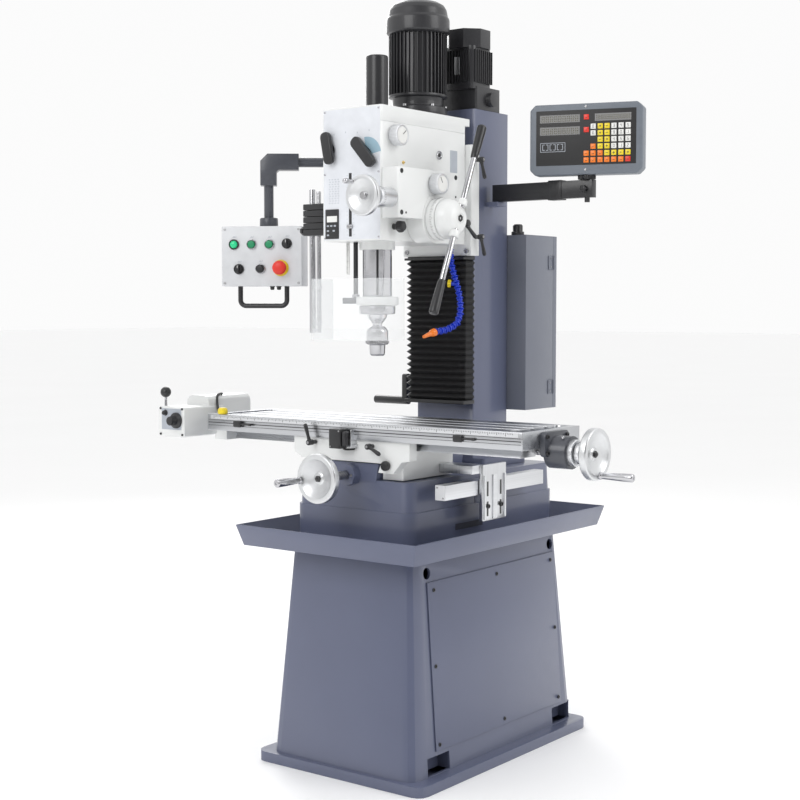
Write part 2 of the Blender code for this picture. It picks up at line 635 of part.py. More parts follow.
def head_covers():
    """The top cover with its rear lip, the drawbar cover, and the worm housing on the right side."""
    z = HEAD_TOP + GAP
    cover = block("head_top_cover", (-HEAD_HALF, HEAD_FRONT, z), (HEAD_HALF, HEAD_BACK, z + TOP_H),
                  "white_paint", radius=0.005, steps=2)
    lip_low = max(z + 0.020, SLIDE_Z + SLIDE_H + GAP)
    lip = block("cover_lip", (-HEAD_HALF, HEAD_BACK - 0.01, lip_low),
                (HEAD_HALF, HEAD_BACK + 0.018, z + TOP_H))
    under = block("cover_hollow", (-HEAD_HALF + 0.012, HEAD_FRONT + 0.012, z - 0.01),
                  (HEAD_HALF - 0.012, HEAD_BACK - 0.012, z + TOP_H - 0.012))
    join(cover, lip)
    cut(cover, under, rod("drawbar_hole", (0, SPINDLE_Y, z), "+z", 0.015, 0.1))
    turned("drawbar_cover", (0, SPINDLE_Y, COVER_TOP + GAP), "+z",
           [(0, 0.141), (0.0265, 0.141), (0.0285, 0.138), (0.0285, 0.0), (0.020, 0.0), (0.020, 0.120),
            (0, 0.120)], "black_plastic")
    x = HEAD_HALF + GAP
    housing = block("worm_housing", (x, HEAD_FRONT, HEAD_Z + 0.055), (x + HOUSING_X, -0.075, HEAD_Z + 0.180),
                    "white_paint", radius=0.004, steps=2)
    boss = rod("worm_boss", (x, CAP_Y, CAP_Z), "+x", 0.062, HOUSING_X + BOSS_RISE)
    join(housing, boss)
    cut(housing, rod("worm_shaft_bore", (x - 0.02, CAP_Y, CAP_Z), "+x", 0.017, 0.2),
        rod("worm_bore", (HEAD_HALF + 0.028, HEAD_FRONT - 0.02, HEAD_Z + 0.103), "+y", 0.0085, 0.08,
            facets=16))


def motor():
    """The spindle motor: flange, body and domed fan cover, turned in one shape."""
    turned("spindle_motor", (0, -0.050, COVER_TOP + GAP), "+z",
           [(0, 0.305), (0.055, 0.302), (0.076, 0.284), (0.080, 0.264), (0.0835, 0.258), (0.0845, 0.222),
            (0.078, 0.216), (0.078, 0.056), (0.068, 0.050), (0.068, 0.030), (0.078, 0.024), (0.078, 0.0),
            (0, 0.0)], "black_paint")


def head_controls():
    """Gear levers in front, knobs on the right side, and the quill's lock knob."""
    for name, x, up, lean, length in (("gear_lever_left", -0.067, 0.232, -11, 0.083),
                                      ("gear_lever_right", 0.051, 0.2165, -42, 0.092)):
        at = Vector((x, HEAD_FRONT - GAP, HEAD_Z + up))
        hub = rod(name, at, "-y", 0.014, 0.010, "black_plastic", facets=16)
        arm = block(name + "_arm", (-0.015, -0.012, -length * 0.45), (0.015, 0.0, length * 0.55),
                    radius=0.012, axis=1)
        pivot(arm, (0, 0, 0))
        arm.location = at + Vector((0, -0.008, 0))
        arm.rotation_euler = (0, math.radians(lean), 0)
        join(hub, arm)
    knob = [(0, 0.029), (0.0245, 0.029), (0.0265, 0.027), (0.0265, 0.0), (0, 0.0)]
    turned("range_knob", (HEAD_HALF + GAP, -0.282, HEAD_Z + 0.263), "+x", knob, "polished")
    turned("feed_knob", (HEAD_HALF + HOUSING_X + 2 * GAP, -0.183, HEAD_Z + 0.145), "+x", knob, "polished")
    turned("quill_lock", (HEAD_HALF + GAP, -0.283, HEAD_Z + 0.035), "+x",
           [(0, 0.034), (0.010, 0.034), (0.0155, 0.028), (0.0155, 0.016), (0.008, 0.012), (0.008, 0.0),
            (0, 0.0)], "black_plastic", facets=16)


def capstan():
    """The pinion shaft with the graduated dial, and the domed hub with two long arms."""
    x = HEAD_HALF + HOUSING_X + BOSS_RISE + 2 * GAP
    inner = -x - 0.030
    pinion = CAP_Y - SPINDLE_Y - QUILL_R - 0.002
    thick = 0.026
    turned("capstan_dial", (x, CAP_Y, CAP_Z), "+x",
           [(0, thick), (DIAL_R - 0.002, thick), (DIAL_R, thick - 0.002), (DIAL_R, 0.0), (0.016, 0.0),
            (0.016, inner + 0.060), (pinion, inner + 0.060), (pinion, inner), (0, inner)], "white_paint")
    x_hub = x + thick + GAP
    hub = turned("capstan_arms", (x_hub, CAP_Y, CAP_Z), "+x",
                 [(0, 0.046), (0.022, 0.046), (0.038, 0.038), (0.048, 0.026), (0.051, 0.010), (0.051, 0.0),
                  (0, 0.0)], "white_paint")
    for turn in (ARM_ANGLE, ARM_ANGLE + math.pi):
        way = Vector((0.0, math.sin(turn), math.cos(turn)))
        centre = Vector((x_hub + 0.0384, CAP_Y, CAP_Z))
        join(hub, bar("capstan_arm", centre + way * 0.030, centre + way * 0.18, 0.0075),
             bar("capstan_grip", centre + way * 0.172, centre + way * ARM_REACH, 0.0125))


def fine_feed():
    """The fine feed handwheel on the worm shaft, with its small turned handle."""
    at = Vector((HEAD_HALF + 0.028, HEAD_FRONT - GAP, HEAD_Z + 0.103))
    wheel = turned("fine_feed_wheel", at, "-y",
                   [(0, 0.112), (0.010, 0.112), (0.011, 0.104), (0.036, 0.114), (0.040, 0.116),
                    (0.050, 0.115), (0.050, 0.102), (0.044, 0.100), (0.020, 0.088), (0.020, 0.066),
                    (0.026, 0.064), (0.026, 0.0), (0.008, 0.0), (0.008, -0.040), (0, -0.040)],
                   "polished")
    peg = at + Vector((-0.028, -0.114, 0.034))
    join(wheel, bar("fine_handle", peg, peg + Vector((0, -0.036, 0)), 0.0065))


def quill():
    """The quill with its depth collar and rod, the spindle turning in it, and the drill chuck."""
    at = (0, SPINDLE_Y, QUILL_LOW)
    bore = SPINDLE_R + BORE_FIT
    collar = QUILL_R + 0.0175
    tube = turned("quill", at, "+z",
                  [(bore, QUILL_L), (QUILL_R, QUILL_L), (QUILL_R, 0.0), (collar, 0.0), (collar, -0.022),
                   (bore, -0.022)], "polished")
    shelf = block("depth_shelf", (-0.085, SPINDLE_Y - 0.040, QUILL_LOW - 0.018), (-0.035, SPINDLE_Y - 0.008,
                                                                                  QUILL_LOW - 0.002))
    depth = rod("depth_rod", (-0.053, SPINDLE_Y - 0.023, QUILL_LOW - 0.010), "+z", 0.006, 0.300, facets=12)
    join(tube, shelf, depth)
    cut(tube, rod("spindle_way", (0, SPINDLE_Y, QUILL_LOW - 0.05), "+z", bore, 0.1))
    turned("spindle", at, "+z",
           [(0, QUILL_L - 0.005), (SPINDLE_R, QUILL_L - 0.005), (SPINDLE_R, -0.0223), (0.047, -0.0223),
            (0.047, -0.045), (0.026, -0.046), (0.024, -0.055), (0.012, -0.070), (0.012, -0.0757),
            (0, -0.0757)], "polished")
    turned("chuck", (0, SPINDLE_Y, QUILL_LOW - 0.076), "+z",
           [(0, 0.0), (0.019, 0.0), (0.0255, -0.008), (0.0285, -0.012), (0.0285, -0.036), (0.031, -0.038),
            (0.031, -0.044), (0.0285, -0.046), (0.0205, -0.048), (0.0195, -0.072), (0.016, -0.077),
            (0.006, -0.077), (0.006, -0.040), (0, -0.040)], "polished")


def guard():
    """The chip guard: a clamp on the head's left side, two rods, and the clear folded shield."""
    x, y = -HEAD_HALF - 0.062, -0.300
    second = x + 0.022
    z = HEAD_Z + 0.018
    clamp = block("guard_clamp", (x - 0.018, y - 0.018, z), (-HEAD_HALF - GAP, y + 0.018, z + 0.083),
                  "black_plastic", radius=0.010, steps=2)
    knob = rod("guard_knob", (x - 0.014, y, z + 0.014), "-x", 0.0115, 0.022, facets=16)
    join(clamp, knob)
    fit = BORE_FIT
    cut(clamp, rod("rod_way", (x, y, z - 0.05), "+z", 0.008 + fit, 0.2, facets=16),
        rod("rod_way_b", (second, y, z - 0.05), "+z", 0.006 + fit, 0.2, facets=16))
    low, high = HEAD_Z - 0.235, HEAD_Z + 0.139
    rods = rod("guard_rods", (x, y, low), "+z", 0.008, high - low, "machined", facets=16)
    tie = block("rod_tie", (x - 0.003, y - 0.006, low + 0.002), (second + 0.003, y + 0.006, low + 0.012))
    join(rods, rod("rod_b", (second, y, low), "+z", 0.006, high - low - 0.006, facets=16), tie)
    top, bottom = HEAD_Z - 0.095, HEAD_Z - 0.252
    wide, front, back, sheet = 0.120, -0.357, -0.262, 0.003
    shield = block("guard_shield", (-wide, front, bottom), (wide, back, top), "clear", radius=0.010, steps=2)
    room = block("shield_room", (-wide + sheet, front + sheet, bottom - 0.01),
                 (wide - sheet, back + 0.03, top + 0.01), radius=0.008, steps=2)
    cut(shield, room)
    for up in (low + 0.018, top - 0.030):
        lug = block("shield_lug", (second - 0.0105, y - 0.0105, up), (-wide + 0.002, y + 0.0105, up + 0.018),
                    radius=0.004, steps=2)
        join(shield, lug)
    cut(shield, rod("lug_way", (second, y, low - 0.02), "+z", 0.006 + fit, 0.4, facets=16))
    pivot(shield, (second, y, low))


# the hose's middle line and its nozzle, with heights below the head
HOSE_PATH = [(0.072, 0.000, -0.0007), (0.073, -0.001, -0.0263), (0.077, -0.002, -0.0533),
             (0.085, -0.003, -0.0793), (0.096, -0.004, -0.1063), (0.105, -0.006, -0.1333),
             (0.112, -0.010, -0.1613), (0.117, -0.018, -0.1863), (0.118, -0.032, -0.2073),
             (0.114, -0.052, -0.2213), (0.108, -0.075, -0.2283), (0.103, -0.098, -0.2313)]
NOZZLE = [(0.099, -0.112, -0.2333), (0.092, -0.150, -0.2453)]


def coolant():
    """The articulated coolant hose below the head, with its nozzle."""
    path = [(x, y, HEAD_Z + z) for x, y, z in HOSE_PATH + NOZZLE[:1]]
    hose = pipe("coolant_hose", path, 0.0085, "hose_blue")
    tip = [Vector((x, y, HEAD_Z + z)) for x, y, z in NOZZLE]
    join(hose, bar("hose_nozzle", tip[0] + (tip[0] - tip[1]) * 0.2, tip[1], 0.0065))


def pendant():
    """The control pendant: swinging arm with its elbow, the box with its handle, and the controls."""
    z = PENDANT_ARM_Z
    start, corner = Vector((*ARM_PIVOT, z)), Vector((*ELBOW, z))
    way = (corner - start).normalized()
    boss = rod("pendant_arm", (*ARM_PIVOT, z - 0.0177), "+z", 0.024, 0.036, "grey_paint", facets=24)
    h, run, cham = 0.0225, 0.085, 0.020
    elbow = plate("elbow", [(-run, h), (h - cham, h), (h, h - cham), (h, -0.066), (-h, -0.066),
                            (-h, -h - 0.006), (-h - 0.006, -h), (-run, -h)], -h, h)
    elbow.location = corner
    elbow.rotation_euler = (0, 0, math.atan2(way.y, way.x))
    box_top = z - PENDANT_DROP
    join(boss, bar("pendant_tube", start, corner, TUBE_R, facets=16), elbow,
         rod("pendant_drop", (*ELBOW, box_top + 0.0255), "+z", TUBE_R, 0.120, facets=16))
    pivot(boss, start)
    width, depth, height = PENDANT
    face = Matrix.Rotation(PENDANT_YAW, 4, "Z")
    middle = corner + face.to_3x3() @ Vector((-0.012, 0, 0))
    middle.z = box_top - height / 2
    place = Matrix.Translation(middle) @ face
    shell = block("pendant_box", (-width / 2, -depth / 2, -height / 2), (width / 2, depth / 2, height / 2),
                  "white_paint", radius=0.003, axis=1, steps=1)
    shell.matrix_world = place
    room = block("pendant_room", (-width / 2 + 0.003, -depth / 2 + 0.003, -height / 2 + 0.003),
                 (width / 2 - 0.003, depth / 2 - 0.003, height / 2 - 0.003))
    collar = rod("pendant_collar", (*ELBOW, box_top - 0.002), "+z", 0.026, 0.027)
    half, drop_by = 0.067, 0.055
    bend = 0.014
    loop = [(-half, 0.0, 0.004)]
    loop += [(-half + bend - bend * math.cos(a), 0.0, -drop_by + bend - bend * math.sin(a))
             for a in (math.radians(d) for d in (0, 30, 60, 90))]
    loop += [(-x, y, z) for x, y, z in reversed(loop)]
    handle = pipe("pendant_handle", [(x, y - 0.018, z - height / 2) for x, y, z in loop], 0.007)
    for piece in (room, handle):
        piece.matrix_world = place
    cut(shell, room)
    join(shell, collar, handle)
    front = -depth / 2
    stem = 0.0105
    for name, u, v in (("button_forward", -0.028, 0.033), ("button_reverse", 0.023, 0.033),
                       ("button_stop", -0.003, -0.035), ("emergency_stop", 0.055, -0.033),
                       ("selector_speed", 0.073, 0.035), ("selector_coolant", -0.065, -0.036)):
        hole = rod(name + "_hole", (u, front - 0.01, v), "+y", stem + BORE_FIT, 0.02, facets=20)
        control = rod(name, (u, front + 0.015, v), "-y", stem, 0.025, control_paint(name), facets=20)
        if name == "emergency_stop":
            head = turned(name + "_head", (u, front - 0.009, v), "-y",
                          [(0, 0.020), (0.014, 0.020), (0.019, 0.016), (0.020, 0.010), (0.015, 0.0),
                           (0, 0.0)], facets=24)
            join(control, head)
            head.matrix_world = place @ local_matrix(head)
        if name.startswith("selector"):
            vane = block(name + "_vane", (u - 0.0035, front - 0.020, v - 0.011),
                         (u + 0.0035, front - 0.008, v + 0.011))
            join(control, vane)
            vane.matrix_world = place @ local_matrix(vane)
        for piece in (hole, control):
            piece.matrix_world = place @ local_matrix(piece)
        cut(shell, hole)
    pivot(shell, (*ELBOW, box_top))


def control_paint(name):
    if name == "emergency_stop":
        return "red"
    return "green" if name in ("button_forward", "button_reverse") else "black_plastic"


def local_matrix(piece):
    return Matrix.Translation(piece.location) @ piece.rotation_euler.to_matrix().to_4x4()


def readout():
    """The position readout: a flat arm that swings on the column, and the console on its post."""
    x0, y = READOUT_PIVOT
    x1 = READOUT_POST[0]
    z = READOUT_Z + GAP
    arm = block("readout_arm", (x0 - 0.014, y - 0.011, z), (x1 + 0.020, y + 0.011, z + 0.046), "black_paint")
    knuckle = block("readout_knuckle", (x0 + 0.165, y - 0.014, z - 0.003), (x0 + 0.205, y + 0.014, z + 0.049))
    post = rod("readout_post", (x1, y, z - 0.012), "+z", 0.007, 0.070, facets=16)
    join(arm, knuckle, post)
    pivot(arm, (x0, y, z))
    width, depth, height = CONSOLE
    low = z + 0.058 + GAP
    console = block("readout_console", (-width / 2, -depth / 2, 0), (width / 2, depth / 2, height),
                    "grey_paint", radius=0.014, axis=1, steps=1)
    pivot(console, (0, 0, 0))
    console.location = (*READOUT_POST, low)
    console.rotation_euler = (0, 0, CONSOLE_YAW)


def cabinet():
    """The electrical cabinet behind the column, open at the back, and its hinged door."""
    width, depth, height = CABINET
    front = COLUMN_BACK + GAP
    z = COLUMN_Z + CABINET_LOW
    sheet = 0.002
    box = block("electrical_cabinet", (-width / 2, front, z), (width / 2, front + depth, z + height),
                "grey_paint")
    cut(box, block("cabinet_room", (-width / 2 + sheet, front + sheet, z + sheet),
                   (width / 2 - sheet, front + depth + 0.02, z + height - sheet)))
    back = front + depth + GAP
    door = block("cabinet_door", (-width / 2, back, z), (width / 2, back + DOOR_T, z + height), "grey_paint")
    cut(door, block("door_room", (-width / 2 + sheet, back - 0.01, z + sheet),
                    (width / 2 - sheet, back + DOOR_T - sheet, z + height - sheet)))
    pivot(door, (width / 2, back + DOOR_T, z))


stand()
stand_cover()
tray()
base_casting()
y_drive()
y_scale()
saddle()
reader()
lever("saddle_lock_left", (-0.114, APRON_FRONT - GAP, SLAB_Z - 0.013), "-y",
      (-0.126, APRON_FRONT, SLAB_Z + 0.033))
lever("saddle_lock_right", (0.075, APRON_FRONT - GAP, SLAB_Z - 0.014), "-y",
      (0.112, APRON_FRONT, SLAB_Z - 0.031))
table()
x_drive()
power_feed()
column()
lift()
head_slide()
head_casting()
head_covers()
motor()
head_controls()
capstan()
fine_feed()
quill()
guard()
coolant()
pendant()
readout()
cabinet()
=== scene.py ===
# %% [markdown]
# # A floor-standing mill-drill, dressed for a portrait
# The machine's working frame already exists: solids with true sizes, grouped into bodies that move
# on joints. This lesson puts the visible machine round that frame. Each step says what a piece is
# on a real machine, how it could be made in Blender, and why it is made this way.

# %% Load the frame
import math

import bmesh
import bpy
from mathutils import Matrix, Vector


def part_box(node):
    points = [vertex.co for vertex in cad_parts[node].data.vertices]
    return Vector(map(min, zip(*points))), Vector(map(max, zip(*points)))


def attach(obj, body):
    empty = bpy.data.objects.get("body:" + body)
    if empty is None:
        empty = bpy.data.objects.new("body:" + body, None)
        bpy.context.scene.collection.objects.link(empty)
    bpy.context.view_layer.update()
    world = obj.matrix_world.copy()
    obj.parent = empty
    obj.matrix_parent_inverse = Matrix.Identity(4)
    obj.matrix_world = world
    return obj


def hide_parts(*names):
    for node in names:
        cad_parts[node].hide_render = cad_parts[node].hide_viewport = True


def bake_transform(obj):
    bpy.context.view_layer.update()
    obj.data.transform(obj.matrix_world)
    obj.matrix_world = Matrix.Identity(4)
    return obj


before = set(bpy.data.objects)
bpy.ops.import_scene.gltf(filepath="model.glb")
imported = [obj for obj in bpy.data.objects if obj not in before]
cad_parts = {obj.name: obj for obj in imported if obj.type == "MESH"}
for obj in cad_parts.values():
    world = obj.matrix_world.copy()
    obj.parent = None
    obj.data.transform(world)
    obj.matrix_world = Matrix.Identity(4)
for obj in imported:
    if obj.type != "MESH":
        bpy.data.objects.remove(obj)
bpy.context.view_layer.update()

# %% [markdown]
# ## Camera, floor and light
# The camera comes first, because it decides what matters. It stands about four metres away at
# chest height, to the machine's right, and looks slightly down. A long lens keeps the uprights
# nearly parallel.

# %% Camera
camera_data = bpy.data.cameras.new("camera")
camera_data.lens = 66.6
camera_data.sensor_width = 36.0
camera = bpy.data.objects.new("camera", camera_data)
bpy.context.scene.collection.objects.link(camera)
camera.location = (2.3760, -3.2632, 1.2039)
camera.rotation_euler = (math.radians(90 - 3.6), 0.0, math.radians(37.167))
bpy.context.scene.camera = camera
print("camera at", tuple(camera.location))

# %% [markdown]
# ## Shader maths as plain expressions
# A procedural finish is mostly arithmetic on patterns. Joining Math nodes by hand hides the
# formula, so one small class wraps a socket and lets it be added and multiplied like a number.
# A second class holds one finish: its material, and one method that adds any other node.


# %% The socket wrapper
class Wire:
    """A socket that can be used in arithmetic. Each operator adds a Math node."""

    def __init__(self, finish, socket):
        self.finish, self.socket = finish, socket

    def math(self, operation, first, second=0.0):
        return self.finish.node("ShaderNodeMath", {"operation": operation}, {0: first, 1: second})

    def __add__(self, other):
        return self.math("ADD", self, other)

    def __mul__(self, other):
        return self.math("MULTIPLY", self, other)

    def __sub__(self, other):
        return self.math("SUBTRACT", self, other)

    def __rsub__(self, other):
        return self.math("SUBTRACT", other, self)

    def __truediv__(self, other):
        return self.math("DIVIDE", self, other)

    def __gt__(self, other):
        return self.math("GREATER_THAN", self, other)

    __radd__ = __add__
    __rmul__ = __mul__


# %% The finish
class Finish:
    """One material: uniform values go straight on its shader, patterns are wired in."""

    def __init__(self, name, colour, roughness, metallic=0.0, **uniform):
        self.material = bpy.data.materials.new(name)
        self.material.use_nodes = True
        self.tree = self.material.node_tree
        self.shader = self.tree.nodes["Principled BSDF"]
        self.colour, self.roughness = colour, roughness
        self.put(self.shader, "Base Color", (*colour, 1.0))
        self.put(self.shader, "Roughness", roughness)
        self.put(self.shader, "Metallic", metallic)
        for key, value in uniform.items():
            self.put(self.shader, key.replace("_", " ").title().replace("Ior", "IOR"), value)
        self.place = self.node("ShaderNodeTexCoord", out="Object")

    def put(self, node, key, value):
        socket = node.inputs[key]
        if isinstance(value, Wire):
            self.tree.links.new(value.socket, socket)
        else:
            socket.default_value = value

    def node(self, kind, settings=None, sockets=None, out=0):
        """Any node: its settings first, a ramp's stops among them, then its sockets."""
        node = self.tree.nodes.new(kind)
        for key, value in (settings or {}).items():
            if key == "stops":
                for stop, (at, shade) in zip(node.color_ramp.elements, value):
                    stop.position, stop.color = at, shade
            else:
                setattr(node, key, value)
        for key, value in (sockets or {}).items():
            self.put(node, key, value)
        return Wire(self, node.outputs[out])

    def stretched(self, scale):
        """The piece's own coordinates, scaled along each axis."""
        return self.node("ShaderNodeVectorMath", {"operation": "MULTIPLY"}, {0: self.place, 1: scale})

    def noise(self, scale, detail=3.0, stretch=(1.0, 1.0, 1.0)):
        return self.node("ShaderNodeTexNoise", None,
                         {"Vector": self.stretched(stretch), "Scale": scale, "Detail": detail})

    def mix(self, factor, first, second):
        return self.node("ShaderNodeMix", {"data_type": "RGBA"},
                         {0: factor, 6: (*first, 1.0), 7: (*second, 1.0)}, out=2)

    def tint(self, factor, low, high):
        """The colour, darker where the factor is 0 and lighter where it is 1."""
        shades = [tuple(min(c * share, 1.0) for c in self.colour) for share in (low, high)]
        self.put(self.shader, "Base Color", self.mix(factor, *shades))

    def gloss(self, factor, spread):
        """Roughness that wanders by the spread as the factor goes from 0 to 1."""
        self.put(self.shader, "Roughness", factor * spread + (self.roughness - spread / 2))

    def relief(self, height, depth, strength=1.0):
        bump = self.node("ShaderNodeBump", None,
                         {"Height": height, "Distance": depth, "Strength": strength})
        self.put(self.shader, "Normal", bump)


# %% [markdown]
# ## Painted castings
# A machine tool is painted over filler with a tough gloss enamel. Seen close, it has a faint
# orange-peel skin, and its tone drifts slightly because castings are never quite flat. Fine noise
# in the bump gives the skin, and broad noise drifts the tone and the gloss.


# %% Paint recipe
def enamel(name, colour, roughness=0.32, peel=0.00006, drift=0.05, coat=0.25):
    paint = Finish(name, colour, roughness, coat_weight=coat, coat_roughness=0.12)
    cloud = paint.noise(7.0, 4.0)
    paint.tint(cloud, 1.0 - drift, 1.0 + drift)
    paint.gloss(paint.noise(26.0, 3.0), 0.10)
    paint.relief(paint.noise(900.0, 2.0) + paint.noise(190.0, 2.0) * 0.8, peel)
    return paint


blue_paint = enamel("blue_grey_enamel", (0.108, 0.122, 0.190))
cabinet_paint = enamel("cabinet_enamel", (0.150, 0.162, 0.200), roughness=0.40, peel=0.00010)
white_paint = enamel("white_enamel", (0.76, 0.77, 0.765), roughness=0.30, drift=0.02)
motor_paint = enamel("black_motor_enamel", (0.020, 0.020, 0.023), roughness=0.40, peel=0.00012, drift=0.15)
housing_paint = enamel("dark_housing_enamel", (0.060, 0.064, 0.078), roughness=0.38, peel=0.00008)
print("paints:", len(bpy.data.materials))

# %% [markdown]
# ## Bare metal
# Three kinds of bare metal show. The table is ground, which leaves long fine scratches along its
# length. Handwheels, quill and chuck are turned and polished, which leaves rings round their axis.
# The scale's bar is extruded and anodised, so it is duller. Noise squeezed along one axis gives
# scratches, and a wave along a turned piece's own axis gives rings.


# %% Ground and turned metal
def ground(name, colour, roughness, stretch, depth=0.00003):
    metal = Finish(name, colour, roughness, 1.0)
    scratch = metal.noise(60.0, 6.0, stretch)
    metal.tint(scratch, 0.86, 1.10)
    metal.gloss(scratch * 0.6 + metal.noise(5.0, 3.0) * 0.4, 0.22)
    metal.relief(scratch, depth)
    return metal


def turned_metal(name, colour, roughness, rings=420.0, depth=0.00002):
    metal = Finish(name, colour, roughness, 1.0)
    spread = metal.node("ShaderNodeVectorMath", {"operation": "LENGTH"},
                        {0: metal.stretched((1.0, 1.0, 0.0))}, out="Value")
    height = metal.node("ShaderNodeSeparateXYZ", None, {0: metal.place}, out="Z")
    wave = metal.node("ShaderNodeMath", {"operation": "SINE"}, {0: (spread + height) * (rings * 6.2832)})
    haze = metal.noise(40.0, 4.0)
    metal.tint(haze, 0.92, 1.05)
    metal.gloss(haze * 0.8 + wave * 0.1, 0.12)
    metal.relief(wave, depth)
    return metal


table_steel = ground("ground_table_iron", (0.52, 0.53, 0.55), 0.30, (0.04, 6.0, 6.0))
plate_steel = ground("brushed_plate", (0.70, 0.71, 0.73), 0.30, (6.0, 6.0, 0.08))
bar_aluminium = ground("anodised_bar", (0.74, 0.75, 0.77), 0.36, (6.0, 0.05, 6.0))
chrome = turned_metal("polished_turned_steel", (0.55, 0.55, 0.57), 0.17)
wheel_metal = turned_metal("turned_aluminium", (0.70, 0.71, 0.72), 0.36, depth=0.00004)
screw_steel = turned_metal("screw_steel", (0.42, 0.42, 0.43), 0.30, rings=900.0)
brass = turned_metal("brass", (0.72, 0.52, 0.20), 0.26)
print("metals:", len(bpy.data.materials))

# %% [markdown]
# ## Plastics and rubber
# Levers and knobs are moulded black plastic with a fine spark-eroded grain. The bellows are coated
# cloth. The chip shield is clear acrylic, which the Alpha socket thins, and a little haze keeps it
# readable against the pale floor.


# %% Plastic recipe
def moulded(name, colour, roughness=0.42, grain=0.00008, scale=1100.0, **more):
    plastic = Finish(name, colour, roughness, **more)
    speck = plastic.noise(scale, 2.0)
    plastic.tint(plastic.noise(30.0, 3.0), 0.90, 1.10)
    plastic.gloss(speck, 0.10)
    plastic.relief(speck, grain)
    return plastic


satin_black = moulded("satin_black_parts", (0.022, 0.022, 0.024), 0.30, 0.00004)
rubber = moulded("bellows_cloth", (0.013, 0.013, 0.014), 0.58, 0.00020, 2400.0)
hose_blue = moulded("blue_hose_plastic", (0.006, 0.035, 0.50), 0.28, 0.00003)
orange = moulded("orange_plastic", (0.85, 0.20, 0.015), 0.32, 0.00003)
yellow = moulded("yellow_plastic", (0.80, 0.62, 0.02), 0.35, 0.00003)
green = moulded("green_button", (0.012, 0.26, 0.11), 0.30, 0.00002)
red = moulded("red_button", (0.72, 0.035, 0.02), 0.32, 0.00002)
pale_grey = moulded("pale_grey_print", (0.42, 0.45, 0.50), 0.45, 0.00002)
white_plastic = moulded("white_plastic", (0.78, 0.78, 0.76), 0.36, 0.00002)
pendant_shell = moulded("pendant_shell", (0.66, 0.67, 0.69), 0.38, 0.00004)
dark_glass = moulded("dark_window", (0.010, 0.009, 0.009), 0.10, 0.00001, coat_weight=0.6)
print("plastics:", len(bpy.data.materials))

# %% Clear acrylic
acrylic = Finish("clear_acrylic", (0.93, 0.95, 0.96), 0.06, alpha=0.24)
smear = acrylic.noise(9.0, 5.0)
acrylic.gloss(smear, 0.08)
acrylic.put(acrylic.shader, "Alpha", smear * 0.10 + 0.17)
acrylic.relief(acrylic.noise(14.0, 2.0), 0.00004)
print("acrylic alpha wanders round", 0.22)

# %% [markdown]
# ## Making pieces
# Every piece needs the same four things: a mesh, a finish, a body to ride on, and the frame's
# nodes that it stands for. One function does all four. Smooth shading with sharp creases keeps
# round things round and edges crisp.


# %% Piece from a mesh
def piece(name, source, body, finish, *nodes, crease=32.0):
    mesh = source
    if isinstance(source, bmesh.types.BMesh):
        mesh = bpy.data.meshes.new(name)
        source.to_mesh(mesh)
        source.free()
    mesh.materials.clear()
    mesh.materials.append(finish.material)
    mesh.shade_smooth()
    mesh.set_sharp_from_angle(angle=math.radians(crease))
    made = bpy.data.objects.new(name, mesh)
    bpy.context.scene.collection.objects.link(made)
    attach(made, body)
    if nodes:
        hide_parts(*nodes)
    return made


# %% [markdown]
# ## Rounded castings from the frame's own solids
# The frame's solids have the right size but knife edges, and light never catches a knife edge. A
# copy of the solid gets its flat triangles merged into whole faces, and then its sharp edges are
# beveled by a millimetre or two, as foundry and file leave them.


# %% Softened copy of a solid
def softened(node, body, finish, radius=0.0015, steps=2, name=None, sharp=28.0):
    work = bmesh.new()
    work.from_mesh(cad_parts[node].data)
    bmesh.ops.remove_doubles(work, verts=work.verts, dist=0.00001)
    bmesh.ops.dissolve_limit(work, angle_limit=math.radians(1.0), verts=work.verts, edges=work.edges)
    edges = [e for e in work.edges if len(e.link_faces) == 2 and e.calc_face_angle(0.0) > math.radians(sharp)
             and e.calc_length() > radius * 0.5]
    if radius:
        bmesh.ops.bevel(work, geom=edges, offset=radius, segments=steps, profile=0.5,
                        affect="EDGES", clamp_overlap=True)
    made = piece(name or node + "_look", work, body, finish, node)
    print(made.name, len(made.data.polygons), "faces")
    return made


# %% [markdown]
# ## Turned pieces
# Wheels, knobs, the quill and the motor are all made on a lathe, so they start as half a profile
# and are spun round their axis. Each corner of the profile is first rounded a little, because a
# lathe tool leaves a small radius and that radius is what shines.

# %% Lathe
AXES = {
    "+z": Matrix.Identity(3), "-z": Matrix.Rotation(math.pi, 3, "X"),
    "+x": Matrix.Rotation(math.pi / 2, 3, "Y"), "-x": Matrix.Rotation(-math.pi / 2, 3, "Y"),
    "+y": Matrix.Rotation(-math.pi / 2, 3, "X"), "-y": Matrix.Rotation(math.pi / 2, 3, "X"),
}


def turned_to(axis):
    """The turn that takes +Z to an axis, given by name or as a direction."""
    if isinstance(axis, str):
        return AXES[axis]
    return Vector(axis).normalized().to_track_quat("Z", "Y").to_matrix()


def skin(work, rings, steps):
    """Faces from each ring to the next. A ring may be one point, which closes the end."""
    for upper, lower in zip(rings, rings[1:]):
        for i in range(steps):
            j = (i + 1) % steps
            corners = list(dict.fromkeys([upper[i % len(upper)], lower[i % len(lower)],
                                          lower[j % len(lower)], upper[j % len(upper)]]))
            if len(corners) > 2:
                work.faces.new(corners)


def eased(profile, radius):
    """The profile with each inner corner replaced by a short arc."""
    points = [Vector(p) for p in profile]
    result = [points[0]]
    for before, corner, after in zip(points, points[1:], points[2:]):
        reach = min(radius, (before - corner).length * 0.4, (after - corner).length * 0.4)
        start = corner + (before - corner).normalized() * reach
        end = corner + (after - corner).normalized() * reach
        result += [start, (start + end + corner * 2) / 4, end]
    return result + [points[-1]]


